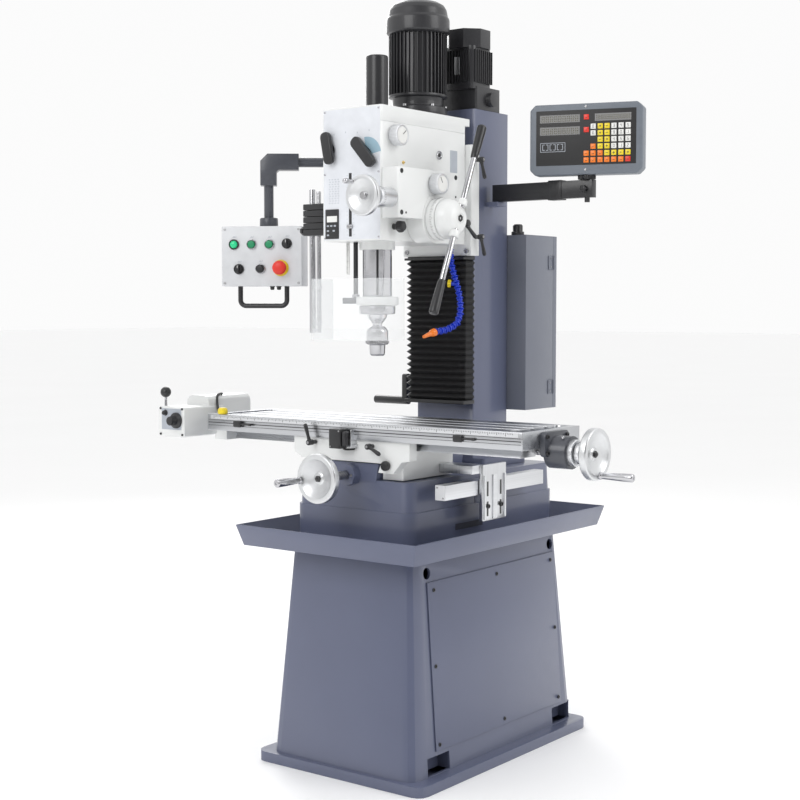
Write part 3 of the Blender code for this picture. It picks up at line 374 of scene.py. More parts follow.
def lathe(name, body, finish, at, axis, profile, *nodes, ease=0.0008, steps=64, crease=40.0, flutes=(0, 0.0)):
    """A spun profile. Flutes, as (count, depth), press grip hollows into its widest part."""
    outline = eased(profile, ease)
    count, depth = flutes
    steps = max(steps, count * 8)
    widest = max(radius for radius, height in profile)
    work = bmesh.new()
    rings = []
    for radius, height in outline:
        if radius < 1e-6:
            rings.append([work.verts.new((0.0, 0.0, height))])
            continue
        ring = []
        for i in range(steps):
            angle = 2 * math.pi * i / steps
            held = radius - depth * (radius / widest) ** 6 * (0.5 - 0.5 * math.cos(count * angle))
            ring.append(work.verts.new((held * math.cos(angle), held * math.sin(angle), height)))
        rings.append(ring)
    skin(work, rings, steps)
    bmesh.ops.recalc_face_normals(work, faces=work.faces)
    made = piece(name, work, body, finish, *nodes, crease=crease)
    made.matrix_world = Matrix.Translation(Vector(at)) @ turned_to(axis).to_4x4()
    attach(made, body)
    return made


# %% [markdown]
# ## Rounded slabs, tubes and screws
# Sheet-metal boxes and small blocks are beveled boxes. Rails and handles are curves with a round
# section. A screw head is small but there are many, so one object holds a whole row of them, each
# with its socket.


# %% Slab
def add_box(work, low, high):
    low, high = Vector(low), Vector(high)
    bmesh.ops.create_cube(work, size=1.0, matrix=Matrix.Translation((low + high) / 2)
                          @ Matrix.Diagonal((*(high - low), 1.0)))


def slab(name, body, finish, low, high, *nodes, radius=0.0015, steps=3, place=None, upright=None):
    """A rounded box; with an axis in upright, only the edges along it are rounded."""
    work = bmesh.new()
    add_box(work, low, high)
    edges = work.edges[:]
    if upright is not None:
        edges = [e for e in edges if abs((e.verts[0].co - e.verts[1].co).normalized()[upright]) > 0.9]
    bmesh.ops.bevel(work, geom=edges, offset=radius, segments=steps, profile=0.5, affect="EDGES")
    if place:
        bmesh.ops.transform(work, matrix=place, verts=work.verts)
    return piece(name, work, body, finish, *nodes)


# %% Tube
def tube(name, body, finish, points, radius, *nodes, smooth=True, sides=6):
    curve = bpy.data.curves.new(name, "CURVE")
    curve.dimensions = "3D"
    curve.bevel_depth = radius
    curve.bevel_resolution = sides
    curve.use_fill_caps = True
    spline = curve.splines.new("NURBS" if smooth else "POLY")
    spline.points.add(len(points) - 1)
    for point, place in zip(spline.points, points):
        point.co = (*place, 1.0)
    spline.use_endpoint_u = True
    spline.order_u = 3
    curve.resolution_u = 6
    curve.materials.append(finish.material)
    made = bpy.data.objects.new(name, curve)
    bpy.context.scene.collection.objects.link(made)
    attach(made, body)
    if nodes:
        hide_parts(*nodes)
    return made


# %% Many small turned things in one object
def studs(name, body, finish, spots, axis, profile, steps=20):
    """The same small profile, spun at every spot along one axis."""
    turn = turned_to(axis)
    work = bmesh.new()
    for spot in spots:
        rings = []
        for radius, height in profile:
            count = 1 if radius < 1e-6 else steps
            rings.append([work.verts.new(Vector(spot) + turn @ Vector((
                radius * math.cos(2 * math.pi * i / count), radius * math.sin(2 * math.pi * i / count),
                height))) for i in range(count)])
        skin(work, rings, steps)
    bmesh.ops.recalc_face_normals(work, faces=work.faces)
    return piece(name, work, body, finish, crease=40.0)


def socket_head(radius, height):
    """A cap screw: a round head with its socket sunk in it."""
    hole = radius * 0.5
    return [(0, height * 0.35), (hole, height * 0.35), (hole, height), (radius * 0.88, height),
            (radius, height * 0.85), (radius, 0.0), (0, 0.0)]


# %% Thin marks such as scale lines and printed panels
def marks(name, body, finish, boxes, place=None, radius=0.0):
    """Many small boxes in one object: (low, high) for each."""
    work = bmesh.new()
    for low, high in boxes:
        add_box(work, low, high)
    if radius:
        bmesh.ops.bevel(work, geom=work.edges[:], offset=radius, segments=2, profile=0.5, affect="EDGES")
    if place:
        bmesh.ops.transform(work, matrix=place, verts=work.verts)
    return piece(name, work, body, finish)


print("helpers ready")

# %% [markdown]
# ## Pedestal, tray and base casting
# The pedestal is a welded or cast box that leans inwards, with anchor pockets at its foot, round
# lifting eyes near its top and a flat service cover held by eight screws. The shapes are right in
# the frame already, so softened copies carry the paint, and the screws are added on the cover.

# %% Pedestal group
softened("stand", "base", blue_paint, 0.004, 3)
softened("stand_service_cover", "base", blue_paint, 0.0008, 2)
softened("chip_tray", "base", blue_paint, 0.0012, 2)
softened("base_casting", "base", blue_paint, 0.004, 3)

# %% Service cover screws
foot_half, top_half, lean_low, lean_high = 0.236, 0.1975, 0.022, 0.580


def wall_x(z):
    """How far out the leaning side wall is at a height."""
    return foot_half + (top_half - foot_half) * (z - lean_low) / (lean_high - lean_low)


lean = math.atan2(foot_half - top_half, lean_high - lean_low)
outward = (math.cos(lean), 0.0, math.sin(lean))
screw_rows = ((0.490, (-0.262, 0.026, 0.300)), (0.298, (-0.271, 0.305)), (0.100, (-0.272, 0.027, 0.305)))
cover_screws = [(wall_x(z) + 0.0030, y, z) for z, row in screw_rows for y in row]
studs("service_cover_screws", "base", satin_black, cover_screws, outward, socket_head(0.0052, 0.0032))
print("cover screws:", len(cover_screws))

# %% Anchor pockets
# Behind each opening at the foot, a folded sheet closes the pocket off from the hollow inside.
sheets = []
for way in (-1, 1):
    for y_low, y_high in ((-0.323, -0.228), (0.272, 0.368)):
        back, mouth = sorted((way * 0.196, way * 0.2285)), sorted((way * 0.194, way * 0.196))
        sheets.append(((mouth[0], y_low - 0.004, 0.0272), (mouth[1], y_high + 0.004, 0.078)))
        sheets.append(((back[0], y_low - 0.004, 0.0745), (back[1], y_high + 0.004, 0.0765)))
        for y in (y_low - 0.003, y_high + 0.001):
            sheets.append(((back[0], y, 0.0272), (back[1], y + 0.002, 0.0765)))
marks("anchor_pocket_sheets", "base", blue_paint, sheets)
print("pocket sheets:", len(sheets))

# %% Base casting details
casting_low, casting_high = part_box("base_casting")
side_x = casting_high.x
ledge = casting_low.z + 0.105
# Below the reader, a flat dark blue sheet on the base's side stands in for the shade inside a recess: painted
# shade, not a cut.
recess = [((side_x - 0.0005, -0.145, ledge - 0.062), (side_x + 0.0004, -0.020, ledge - 0.046))]
recess_shade_blue = moulded("painted_recess_shadow", (0.026, 0.030, 0.050), 0.5, 0.00004)
marks("painted_recess_shade", "base", recess_shade_blue, recess)
studs("bearing_screws", "base", screw_steel, [(x, -0.3582, 0.7766) for x in (-0.019, 0.019)], "-y",
      socket_head(0.0035, 0.003))
print("base ledge at", round(ledge, 3))

# %% [markdown]
# ## Column, cabinet and lift motor
# The column is a plain box casting. The electrical cabinet behind it is folded sheet, so its
# corners are tighter than a casting's. It has butt hinges on the side the door swings from, and a
# cable gland on top. The lift motor stands on a gearbox and is finned like any small motor.

# %% Column group
softened("column", "base", blue_paint, 0.003, 3)
softened("electrical_cabinet", "base", cabinet_paint, 0.0006, 2)
softened("cabinet_door", "cabinet_door", cabinet_paint, 0.0012, 3)
softened("z_drive_motor", "base", motor_paint, 0.003, 3)
cabinet_low, cabinet_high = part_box("electrical_cabinet")
door_low, door_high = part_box("cabinet_door")

# %% Cabinet hinges, gland and latch
hinge_x = cabinet_high.x
hinge_heights = (cabinet_high.z - 0.075, cabinet_low.z + 0.060)
for index, z in enumerate(hinge_heights):
    slab(f"hinge_leaf_{index}", "base", cabinet_paint, (hinge_x - 0.0002, cabinet_high.y - 0.026, z - 0.020),
         (hinge_x + 0.0022, cabinet_high.y - 0.004, z + 0.020), radius=0.0009)
    lathe(f"hinge_barrel_{index}", "base", cabinet_paint,
          (hinge_x + 0.0032, cabinet_high.y - 0.001, z - 0.020),
          "+z", [(0, 0.040), (0.0034, 0.040), (0.0034, 0.0), (0, 0.0)], steps=20)
    studs(f"hinge_screws_{index}", "base", screw_steel,
          [(hinge_x + 0.0020, cabinet_high.y - 0.015, z + up) for up in (-0.012, 0.012)], "+x",
          socket_head(0.0026, 0.0014))
gland_at = (0.118, 0.262, cabinet_high.z)
lathe("cabinet_gland", "base", satin_black, gland_at, "+z",
      [(0, 0.030), (0.011, 0.030), (0.014, 0.026), (0.014, 0.010), (0.018, 0.009), (0.018, 0.0), (0, 0.0)])
lathe("door_latch", "cabinet_door", chrome, (-0.120, door_high.y - 0.0005, (door_low.z + door_high.z) / 2),
      "+y",
      [(0, 0.0004), (0.010, 0.0004), (0.011, 0.0), (0, 0.0)])
print("hinges at", [round(z, 3) for z in hinge_heights])

# %% Lift motor's fins and screws
motor_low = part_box("z_drive_motor")[0]
fin_boxes = []
for i in range(9):
    y = 0.082 + i * 0.0098
    fin_boxes.append(((0.0915, y, motor_low.z + 0.072), (0.0965, y + 0.003, motor_low.z + 0.160)))
marks("lift_motor_fins", "base", motor_paint, fin_boxes)
front_fins = []
for i in range(9):
    x = 0.006 + i * 0.0098
    front_fins.append(((x, 0.0698, motor_low.z + 0.072), (x + 0.003, 0.0748, motor_low.z + 0.160)))
marks("lift_motor_front_fins", "base", motor_paint, front_fins)
studs("lift_gearbox_screws", "base", screw_steel,
      [(x, y, motor_low.z + 0.0620) for x in (-0.040, -0.012) for y in (0.098, 0.194)], "+z",
      socket_head(0.005, 0.004))
print("fins:", len(fin_boxes) + len(front_fins))

# %% [markdown]
# ## Bellows
# A pleated skirt keeps chips off the column's ways. Real pleats are one strip of coated cloth
# folded zigzag in plan section, held flat by a metal flange at each end. A zigzag outline is
# extruded across, and the front folds stand out a little more than the sides. On the machine it
# stretches as the head rises; here the skirt is one fixed shape, and only its flanges ride on the
# base and the head slide.

# %% Pleated skirt
bellows_low, bellows_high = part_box("bellows")
PLEATS = 22
work = bmesh.new()
flange = 0.010
rows = []
levels = PLEATS * 4
for level in range(levels + 1):
    share = level / levels
    z = bellows_low.z + flange + share * (bellows_high.z - bellows_low.z - 2 * flange)
    wave = (0.0, 0.5, 1.0, 0.5)[level % 4]
    depth = 0.011 * (1 - wave)
    x0, x1 = bellows_low.x + depth * 0.7, bellows_high.x - depth * 0.7
    y0, y1 = bellows_low.y + depth, bellows_high.y
    chamfer = 0.010
    loop = [(x0, y1), (x0, y0 + chamfer), (x0 + chamfer, y0), (x1 - chamfer, y0), (x1, y0 + chamfer),
            (x1, y1)]
    rows.append([work.verts.new((x, y, z)) for x, y in loop])
for lower, upper in zip(rows, rows[1:]):
    for i in range(5):
        work.faces.new((lower[i], lower[i + 1], upper[i + 1], upper[i]))
    work.faces.new((lower[5], lower[0], upper[0], upper[5]))
work.faces.new(rows[-1])
work.faces.new(list(reversed(rows[0])))
bmesh.ops.recalc_face_normals(work, faces=work.faces)
mesh = bpy.data.meshes.new("bellows_skirt")
work.to_mesh(mesh)
work.free()
mesh.materials.append(rubber.material)
skirt = bpy.data.objects.new("bellows_skirt", mesh)
bpy.context.scene.collection.objects.link(skirt)
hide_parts("bellows")
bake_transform(skirt)
slab("bellows_lower_flange", "base", satin_black, bellows_low,
     (bellows_high.x, bellows_high.y, bellows_low.z + flange),
     radius=0.001)
slab("bellows_upper_flange", "head_slide", satin_black,
     (bellows_low.x, bellows_low.y, bellows_high.z - flange),
     (bellows_high.x, bellows_high.y, bellows_high.z - 0.0035), radius=0.001)
slab("bellows_upper_seat", "head_slide", satin_black, (bellows_low.x, 0.0375, bellows_high.z - flange / 2),
     bellows_high, radius=0.001)
print("pleats:", PLEATS)

# %% [markdown]
# ## Cross slide: saddle, table and scales
# The saddle is painted outside and scraped inside. The table is ground cast iron: bright, with
# fine scratches along it. Its front edge carries a rule, a groove for the travel stops and a
# stepped lower edge. The rule's lines are separate thin marks, because at arm's length each is seen.

# %% Saddle and table
softened("saddle", "saddle", white_paint, 0.0015, 2)
softened("table", "table", table_steel, 0.0010, 2)
table_low, table_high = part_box("table")
slab_low = table_high.z - 0.044
front = table_low.y

# %% Rule on the table's front, and painted shade lines for its groove and ledge
lines = [((table_low.x + 0.012, front - 0.0006, table_high.z - 0.0130),
          (table_high.x - 0.012, front + 0.001, table_high.z - 0.0025))]
marks("table_rule", "table", bar_aluminium, lines)
ticks = []
for step in range(195):
    x = table_low.x + 0.025 + step * 0.005
    tall = 0.0075 if step % 10 == 0 else 0.0055 if step % 5 == 0 else 0.0035
    ticks.append(((x - 0.0005, front - 0.0009, table_high.z - 0.0035 - tall),
                  (x + 0.0005, front - 0.0003, table_high.z - 0.0035)))
marks("table_rule_lines", "table", satin_black, ticks)
# The groove for the stops and the stepped lower edge are not cut: three dark lines stand in for their shade,
# as painted shade.
groove_shade_lines = [((table_low.x + 0.004, front - 0.0004, slab_low + z),
            (table_high.x - 0.004, front + 0.001, slab_low + z + t))
           for z, t in ((0.0285, 0.0010), (0.0205, 0.0022), (0.0135, 0.0010))]
marks("table_groove_shade", "table", motor_paint, groove_shade_lines)
print("rule lines:", len(ticks))

# %% Painted shade in the bottom of the T-slots
# Thin dark strips at the foot of each slot's neck stand in for the shade inside the slots.
shade_strips = [((-0.420, -0.219 + row - 0.0100, table_high.z - 0.0168),
         (0.450, -0.219 + row + 0.0100, table_high.z - 0.0163))
        for row in (-0.063, 0.0, 0.063)]
marks("slot_painted_shade", "table", motor_paint, shade_strips)
print("T-slot beds:", len(shade_strips))

# %% Travel stops
for index, x in enumerate((-0.380, 0.345)):
    slab(f"travel_stop_{index}", "table", satin_black, (x - 0.014, front - 0.009, slab_low + 0.012),
         (x + 0.014, front - 0.0004, slab_low + 0.030), radius=0.004)
    lathe(f"stop_screw_{index}", "table", satin_black, (x + 0.014, front - 0.005, slab_low + 0.021), "+x",
          [(0, 0.036), (0.0032, 0.036), (0.0038, 0.030), (0.0028, 0.024), (0.0028, 0.0), (0, 0.0)], steps=24)
print("travel stops at the table's front")

# %% [markdown]
# ## Saddle fittings
# Two adjustable levers clamp the slides: a hub with a serrated boss, and a tapered arm. A limit
# switch rides between them on a bent bracket, its plunger towards the stops. A knurled knob and a
# steel way wiper sit lower down.


# %% Clamping lever
def clamp_lever(node, body, at, axis, end, reach=0.026):
    """A hub with a waist, and a tapered arm with a rounded tip, in the place of a lever's solid."""
    along = Vector({"-y": (0, -1, 0), "+x": (1, 0, 0)}[axis])
    hub = lathe(node + "_look", body, satin_black, at, axis,
                [(0, reach), (0.0065, reach), (0.0075, reach - 0.002), (0.0075, reach * 0.45),
                 (0.0055, reach * 0.38), (0.0055, 0.0), (0, 0.0)], node, steps=28)
    start = Vector(at) + along * (reach - 0.008)
    tip = Vector(end) + along * (reach - 0.004)
    way = tip - start
    length = way.length
    lathe(node + "_handle", body, satin_black, start, way,
          [(0, length + 0.003), (0.0040, length + 0.002), (0.0056, length - 0.003), (0.0050, length * 0.7),
           (0.0040, length * 0.35), (0.0052, length * 0.12), (0.0056, 0.0), (0, 0.0)], steps=24)
    screw = Vector(at) + along * (reach + 0.0001)
    studs(node + "_screw", body, screw_steel, [screw], axis, socket_head(0.0034, 0.0012))
    return hub


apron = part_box("saddle")[0].y
clamp_lever("saddle_lock_left", "saddle_lock_left", (-0.114, apron - 0.0003, slab_low - 0.013), "-y",
            (-0.126, apron, slab_low + 0.033), reach=0.032)
clamp_lever("saddle_lock_right", "saddle_lock_right", (0.075, apron - 0.0003, slab_low - 0.014), "-y",
            (0.112, apron, slab_low - 0.031))

# %% Limit switch and stop knob
switch_z = slab_low - 0.022
slab("limit_switch", "saddle", satin_black, (-0.034, apron - 0.044, switch_z),
     (0.004, apron - 0.016, switch_z + 0.050),
     radius=0.0025)
slab("limit_switch_head", "saddle", motor_paint, (0.004, apron - 0.040, switch_z + 0.006),
     (0.016, apron - 0.020, switch_z + 0.044), radius=0.004)
lathe("limit_switch_plunger", "saddle", chrome, (-0.034, apron - 0.030, switch_z + 0.040), "-x",
      [(0, 0.006), (0.003, 0.006), (0.004, 0.004), (0.004, 0.0), (0, 0.0)], steps=20)
slab("limit_switch_bracket", "saddle", plate_steel, (-0.030, apron - 0.0160, switch_z + 0.004),
     (0.026, apron - 0.0003, switch_z + 0.010), radius=0.001)
slab("limit_switch_plate", "saddle", plate_steel, (0.0185, apron - 0.022, switch_z + 0.002),
     (0.0215, apron - 0.0003, switch_z + 0.048), radius=0.001)
studs("limit_switch_screws", "saddle", screw_steel,
      [(-0.029, apron - 0.0442, switch_z + 0.005), (-0.001, apron - 0.0442, switch_z + 0.045)], "-y",
      socket_head(0.0022, 0.0010))
tube("limit_switch_lead", "saddle", satin_black,
     [(0.000, apron - 0.026, switch_z + 0.001), (0.001, apron - 0.025, switch_z - 0.002),
      (0.008, apron - 0.018, switch_z - 0.003), (0.014, apron - 0.008, switch_z - 0.003),
      (0.015, apron + 0.004, switch_z - 0.003)], 0.0026)
lathe("apron_knob", "saddle", satin_black, (0.120, apron - 0.0003, 0.8065), "-y",
      [(0, 0.014), (0.0105, 0.014), (0.0125, 0.011), (0.0125, 0.003), (0.0100, 0.0), (0, 0.0)])
slab("way_wiper", "saddle", satin_black, (0.1505, apron + 0.002, slab_low - 0.046),
     (0.1560, apron + 0.026, slab_low - 0.004),
     radius=0.001)
print("saddle fittings done")

# %% [markdown]
# ## Position scale and reader
# The scale is an extruded, anodised bar with end caps. The reader hangs from the saddle on a
# slotted bracket, so its height and reach can be set before the screws are tightened.

# %% Scale and reader
scale_low, scale_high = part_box("y_scale")
softened("y_scale", "base", bar_aluminium, 0.0008, 2)
caps = []
for y in (scale_low.y, scale_high.y):
    caps.append(((scale_high.x - 0.0302, y - 0.0012, scale_low.z - 0.0000),
                 (scale_high.x - 0.0004, y + 0.0012, scale_high.z)))
marks("scale_end_caps", "base", plate_steel, caps)
studs("scale_cap_screws", "base", screw_steel,
      [(scale_high.x - x, scale_low.y - 0.0011, scale_low.z + z) for x,
       z in ((0.006, 0.006), (0.024, 0.032))], "-y",
      socket_head(0.0022, 0.0012))
reader_low, reader_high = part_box("scale_reader")
softened("scale_reader", "saddle", plate_steel, 0.0010, 2)
reader_x = reader_high.x
ribs = [((reader_x - 0.0004, y, reader_low.z + 0.004), (reader_x + 0.0030, y + w, reader_high.z - 0.028))
        for y, w in ((-0.121, 0.006), (-0.080, 0.018), (-0.026, 0.006))]
marks("reader_ribs", "saddle", bar_aluminium, ribs)
# The bracket's slots are not cut: dark marks stand in for the shade in them, as painted shade.
slots = [((reader_x - 0.0006, y, z), (reader_x + 0.0005, y + 0.007, z + 0.038))
         for y in (-0.106, -0.045) for z in (reader_low.z + 0.012, reader_low.z + 0.064)]
marks("reader_slot_shade", "saddle", motor_paint, slots)
studs("reader_screws", "saddle", satin_black,
      [(reader_x + 0.0004, y, z) for y in (-0.1025, -0.0415) for z in (reader_low.z + 0.038,)], "+x",
      socket_head(0.0058, 0.0050))
slab("reader_head", "saddle", bar_aluminium, (scale_high.x - 0.026, -0.108, scale_low.z - 0.0240),
     (scale_high.x - 0.004, -0.040, scale_low.z - 0.0015), radius=0.002)
print("reader from", round(reader_low.z, 3), "to", round(reader_high.z, 3))

# %% [markdown]
# ## Handwheels
# A dished handwheel is turned from one casting: a bright rim, a cone-shaped web and a hub with its
# nut. Behind it sits a graduated collar. The revolving grip is a long tapered sleeve on a shoulder
# screw, so it rides on a body of its own. All three are profiles on the lathe.


# %% Graduations round a turned collar
def ring_lines(name, body, finish, at, axis, radius, count, low, high, long_every=5, width=0.0006):
    """Short lines round a cylinder, from low to high along its axis; every few are longer."""
    turn = AXES[axis]
    work = bmesh.new()
    for i in range(count):
        angle = 2 * math.pi * i / count
        top = high if i % long_every == 0 else low + (high - low) * 0.6
        size = (0.0006, width, top - low)
        matrix = (Matrix.Translation(Vector(at)) @ turn.to_4x4() @ Matrix.Rotation(angle, 4, "Z")
                  @ Matrix.Translation((radius, 0.0, (low + top) / 2)) @ Matrix.Diagonal((*size, 1.0)))
        bmesh.ops.create_cube(work, size=1.0, matrix=matrix)
    return piece(name, work, body, finish)


# %% Wheel, collar and grip
WHEEL_R = 0.0625


def handwheel(node, wheel_body, grip_node, grip_body, at, axis, grip_at):
    r = WHEEL_R
    lathe(node + "_look", wheel_body, wheel_metal, at, axis,
          [(0, -0.002), (0.013, -0.002), (0.016, -0.005), (0.034, 0.000), (0.046, 0.005), (r - 0.0125, 0.008),
           (r - 0.002, 0.008), (r, 0.005), (r, -0.009), (r - 0.003, -0.012), (r - 0.010, -0.011),
           (0.034, -0.008), (0.022, -0.016), (0, -0.016)], node, steps=96)
    lathe(node + "_nut", wheel_body, satin_black, at, axis,
          [(0, 0.0055), (0.0045, 0.0055), (0.0055, 0.003), (0.0085, 0.002), (0.0088, -0.004), (0, -0.004)],
          steps=6,
          crease=20.0)
    lathe(node + "_collar", wheel_body, bar_aluminium, at, axis,
          [(0, -0.0162), (0.021, -0.0162), (0.0225, -0.018), (0.0225, -0.031), (0.0255, -0.033),
           (0.0258, -0.0445),
           (0, -0.0445)])
    ring_lines(node + "_lines", wheel_body, satin_black, at, axis, 0.0257, 50, -0.0440, -0.0370)
    lathe(grip_node + "_look", grip_body, chrome, grip_at, axis,
          [(0, 0.0880), (0.0030, 0.0880), (0.0032, 0.0900), (0.0080, 0.0895), (0.0102, 0.0870),
           (0.0098, 0.0600),
           (0.0078, 0.0150), (0.0076, 0.0080), (0.0092, 0.0055), (0.0094, 0.0005), (0, 0.0005)], grip_node)
    print(node, "at", tuple(round(v, 3) for v in at))


handwheel("y_handwheel", "y_wheel", "y_grip", "y_grip", (0.0, -0.468, 0.7766), "-y",
          (-0.0505, -0.4763, 0.7706))
handwheel("x_handwheel", "x_wheel", "x_grip", "x_grip", (0.646, -0.219, 0.8572), "+x",
          (0.6543, -0.213, 0.8067))

# %% Bearing housing on the table's end
softened("x_bearing_housing", "table", housing_paint, 0.0016, 2)
housing_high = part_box("x_bearing_housing")[1]
lathe("x_bearing_sleeve", "table", bar_aluminium, (housing_high.x + 0.0002, -0.219, 0.8572), "+x",
      [(0.0117, 0.0145), (0.031, 0.0145), (0.0325, 0.013), (0.0325, 0.0), (0.0117, 0.0)])
ring_lines("x_sleeve_lines", "table", satin_black, (housing_high.x, -0.219, 0.8572), "+x", 0.0324, 60, 0.007,
           0.0135)
studs("x_housing_screws", "table", satin_black,
      [(table_high.x + 0.0142, -0.219 + y, z) for y in (-0.045, 0.045) for z in (0.8572, 0.8960)], "+x",
      socket_head(0.0055, 0.005))
lathe("x_housing_oiler", "table", chrome, (table_high.x + 0.045, -0.219 - 0.022, 0.8572 + 0.0335),
      (0, -0.55, 0.83),
      [(0, 0.008), (0.003, 0.008), (0.004, 0.005), (0.004, 0.0), (0, 0.0)], steps=20)
print("bearing housing ends at", round(housing_high.x, 4))


# %% Screws that stay as the frame's own rods
def repaint(node, finish):
    """The frame's own solid shows, with a better finish."""
    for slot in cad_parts[node].material_slots:
        slot.material = finish.material


thread_steel = Finish("rolled_thread", (0.50, 0.50, 0.51), 0.28, 1.0)
groove = thread_steel.node("ShaderNodeTexWave", {"wave_type": "BANDS", "bands_direction": "DIAGONAL"},
                           {"Vector": thread_steel.place, "Scale": 70.0, "Distortion": 0.0}, out="Fac")
# The bands darken the steel to 0.45 of its colour in the thread's grooves: painted shade between the flanks.
# The same bands also drive the bump.
thread_steel.tint(groove, 0.45, 1.10)
thread_steel.relief(groove, 0.0006)
for node in ("x_leadscrew", "y_leadscrew", "z_leadscrew"):
    repaint(node, thread_steel)
print("leadscrews repainted")

# %% [markdown]
# ## Power feed
# A gearbox and a motor hang on the table's left end. The direction lever has a ball knob, the
# speed dial is knurled, and a small key sits above. A cable leaves the motor and goes back to
# the bracket. Painted boxes are softened copies, and the controls are turned.

# %% Feed box and controls
softened("power_feed", "table", white_paint, 0.0025, 3)
feed_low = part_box("power_feed")[0]
lathe("feed_lever_look", "feed_lever", satin_black, (-0.6353, -0.365, 0.8742), "-x",
      [(0, 0.012), (0.0085, 0.012), (0.0100, 0.010), (0.0100, 0.0), (0, 0.0)], "feed_lever")
lathe("feed_lever_stick", "feed_lever", chrome, (-0.6433, -0.365, 0.8742), "+z",
      [(0, 0.080), (0.0038, 0.080), (0.0042, 0.0), (0, 0.0)], steps=20)
ball = [(0.015 * math.sin(math.pi * i / 12) if 0 < i < 12 else 0.0, 0.015 * math.cos(math.pi * i / 12))
        for i in range(13)]
lathe("feed_lever_ball", "feed_lever", satin_black, (-0.6433, -0.365, 0.9662), "+z", ball)
lathe("feed_dial_look", "feed_dial", satin_black, (-0.5653, -0.4003, 0.8922), "-y",
      [(0, 0.0295), (0.0100, 0.0295), (0.0118, 0.0280), (0.0122, 0.0085), (0.0215, 0.0060), (0.0220, 0.0008),
       (0, 0.0008)], "feed_dial")
ring_lines("feed_dial_flutes", "feed_dial", motor_paint, (-0.5653, -0.4003, 0.8922), "-y", 0.0122, 28, 0.009,
           0.0275, 1)
lathe("feed_key", "table", satin_black, (-0.6080, -0.4003, 0.9120), "-y",
      [(0, 0.010), (0.0055, 0.010), (0.0062, 0.008), (0.0062, 0.002), (0.0085, 0.001), (0.0085, 0.0),
       (0, 0.0)], steps=32)
lathe("feed_cap", "table", yellow, (-0.4480, table_low.y + 0.010, table_high.z + 0.0005), "+z",
      [(0, 0.018), (0.010, 0.017), (0.0135, 0.012), (0.0140, 0.004), (0.0120, 0.0), (0, 0.0)], steps=32)
panel = [((feed_low.x + 0.012, -0.4006, 0.866), (feed_low.x + 0.088, -0.3998, 0.924))]
marks("feed_panel", "table", pale_grey, panel)
studs("feed_screws", "table", satin_black,
      [(x, -0.4002, z) for x in (feed_low.x + 0.008, feed_low.x + 0.092) for z in (0.853, 0.924)], "-y",
      socket_head(0.0032, 0.0022))
tube("feed_cable", "table", satin_black,
     [(-0.555, -0.232, 0.9585), (-0.553, -0.246, 0.9600), (-0.546, -0.262, 0.9520), (-0.535, -0.272, 0.9350),
      (-0.527, -0.276, 0.9120), (-0.520, -0.276, 0.8950), (-0.512, -0.274, 0.8840)], 0.0036)
print("feed box from", tuple(round(v, 3) for v in feed_low))

# %% [markdown]
# ## Head slide and lift crank
# The slide carries the head on the column's dovetail, and two levers lock it. The crank below
# turns the lift screw through bevel gears, so it sticks out at the column's left.

# %% Slide and crank
softened("head_slide", "head_slide", white_paint, 0.0015, 2)
slide_low, slide_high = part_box("head_slide")
for node, up in (("slide_lock_upper", 0.256), ("slide_lock_lower", 0.050)):
    at = (0.1153, 0.055, slide_low.z + up)
    clamp_lever(node, node, at, "+x", (at[0], at[1] + 0.012, at[2] - 0.048))
softened("z_crank", "z_crank", satin_black, 0.0018, 3)
studs("slide_bolts", "head_slide", screw_steel, [(x, slide_low.y - 0.0002,
                                                  slide_low.z + 0.012) for x in (-0.100, 0.100)],
      "-y", socket_head(0.0065, 0.005))
print("slide from", round(slide_low.z, 3), "to", round(slide_high.z, 3))

# %% [markdown]
# ## Head casting, covers and worm housing
# The head is one box casting with a bolted top cover and, on its right, the housing of the worm
# that gives the fine feed. The front plate is a thin printed sheet held by six screws: a speed
# chart, a shaded sector behind the gear lever, the depth display and the slot of its pointer.

# %% Castings
softened("head_casting", "head", white_paint, 0.0018, 3)
softened("head_top_cover", "head", white_paint, 0.0018, 3)
softened("worm_housing", "head", white_paint, 0.0018, 3)
head_low, head_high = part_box("head_casting")
face_y = head_low.y
side = head_high.x

# %% Front plate
plate_print = moulded("printed_plate", (0.70, 0.72, 0.76), 0.34, 0.00001, coat_weight=0.2)
sector_blue = moulded("sector_blue", (0.30, 0.45, 0.54), 0.34, 0.00001)
marks("front_plate", "head", plate_print, [((-0.0915, face_y - 0.0002, 1.3742),
                                            (0.0915, face_y + 0.001, 1.7035))])
studs("front_plate_screws", "head", chrome,
      [(x, face_y - 0.0002, z) for x in (-0.087, 0.087) for z in (1.379, 1.541, 1.699)], "-y",
      socket_head(0.0028, 0.0014))
work = bmesh.new()
centre, reach = Vector((0.049, 0.0, 1.5835)), 0.046
arc = [centre + Vector((math.sin(math.radians(a)), 0,
                        math.cos(math.radians(a)))) * reach for a in range(-10, 86, 6)]
rim = [work.verts.new((p.x, face_y - 0.00035, p.z)) for p in [centre] + arc]
work.faces.new(rim)
grown = bmesh.ops.extrude_face_region(work, geom=work.faces[:])
bmesh.ops.translate(work, vec=(0, 0.0003, 0),
                    verts=[g for g in grown["geom"] if isinstance(g, bmesh.types.BMVert)])
bmesh.ops.recalc_face_normals(work, faces=work.faces)
piece("lever_sector", work, "head", sector_blue)
chart = []
for row in range(11):
    for column_index in range(4):
        x = -0.0745 + column_index * 0.0095 + (0.002 if row % 2 else 0.0)
        z = 1.527 - row * 0.0060
        chart.append(((x, face_y - 0.0004, z), (x + 0.0042, face_y - 0.0001, z + 0.0022)))
marks("speed_chart", "head", pale_grey, chart)
dots = [((-0.058 + i * 0.038, face_y - 0.0004, 1.640 + (i % 2) * 0.003),
         (-0.056 + i * 0.038, face_y - 0.0001, 1.644 + (i % 2) * 0.003)) for i in range(4)]
marks("lever_position_dots", "head", pale_grey, dots)
print("front plate marks:", len(chart) + len(dots))

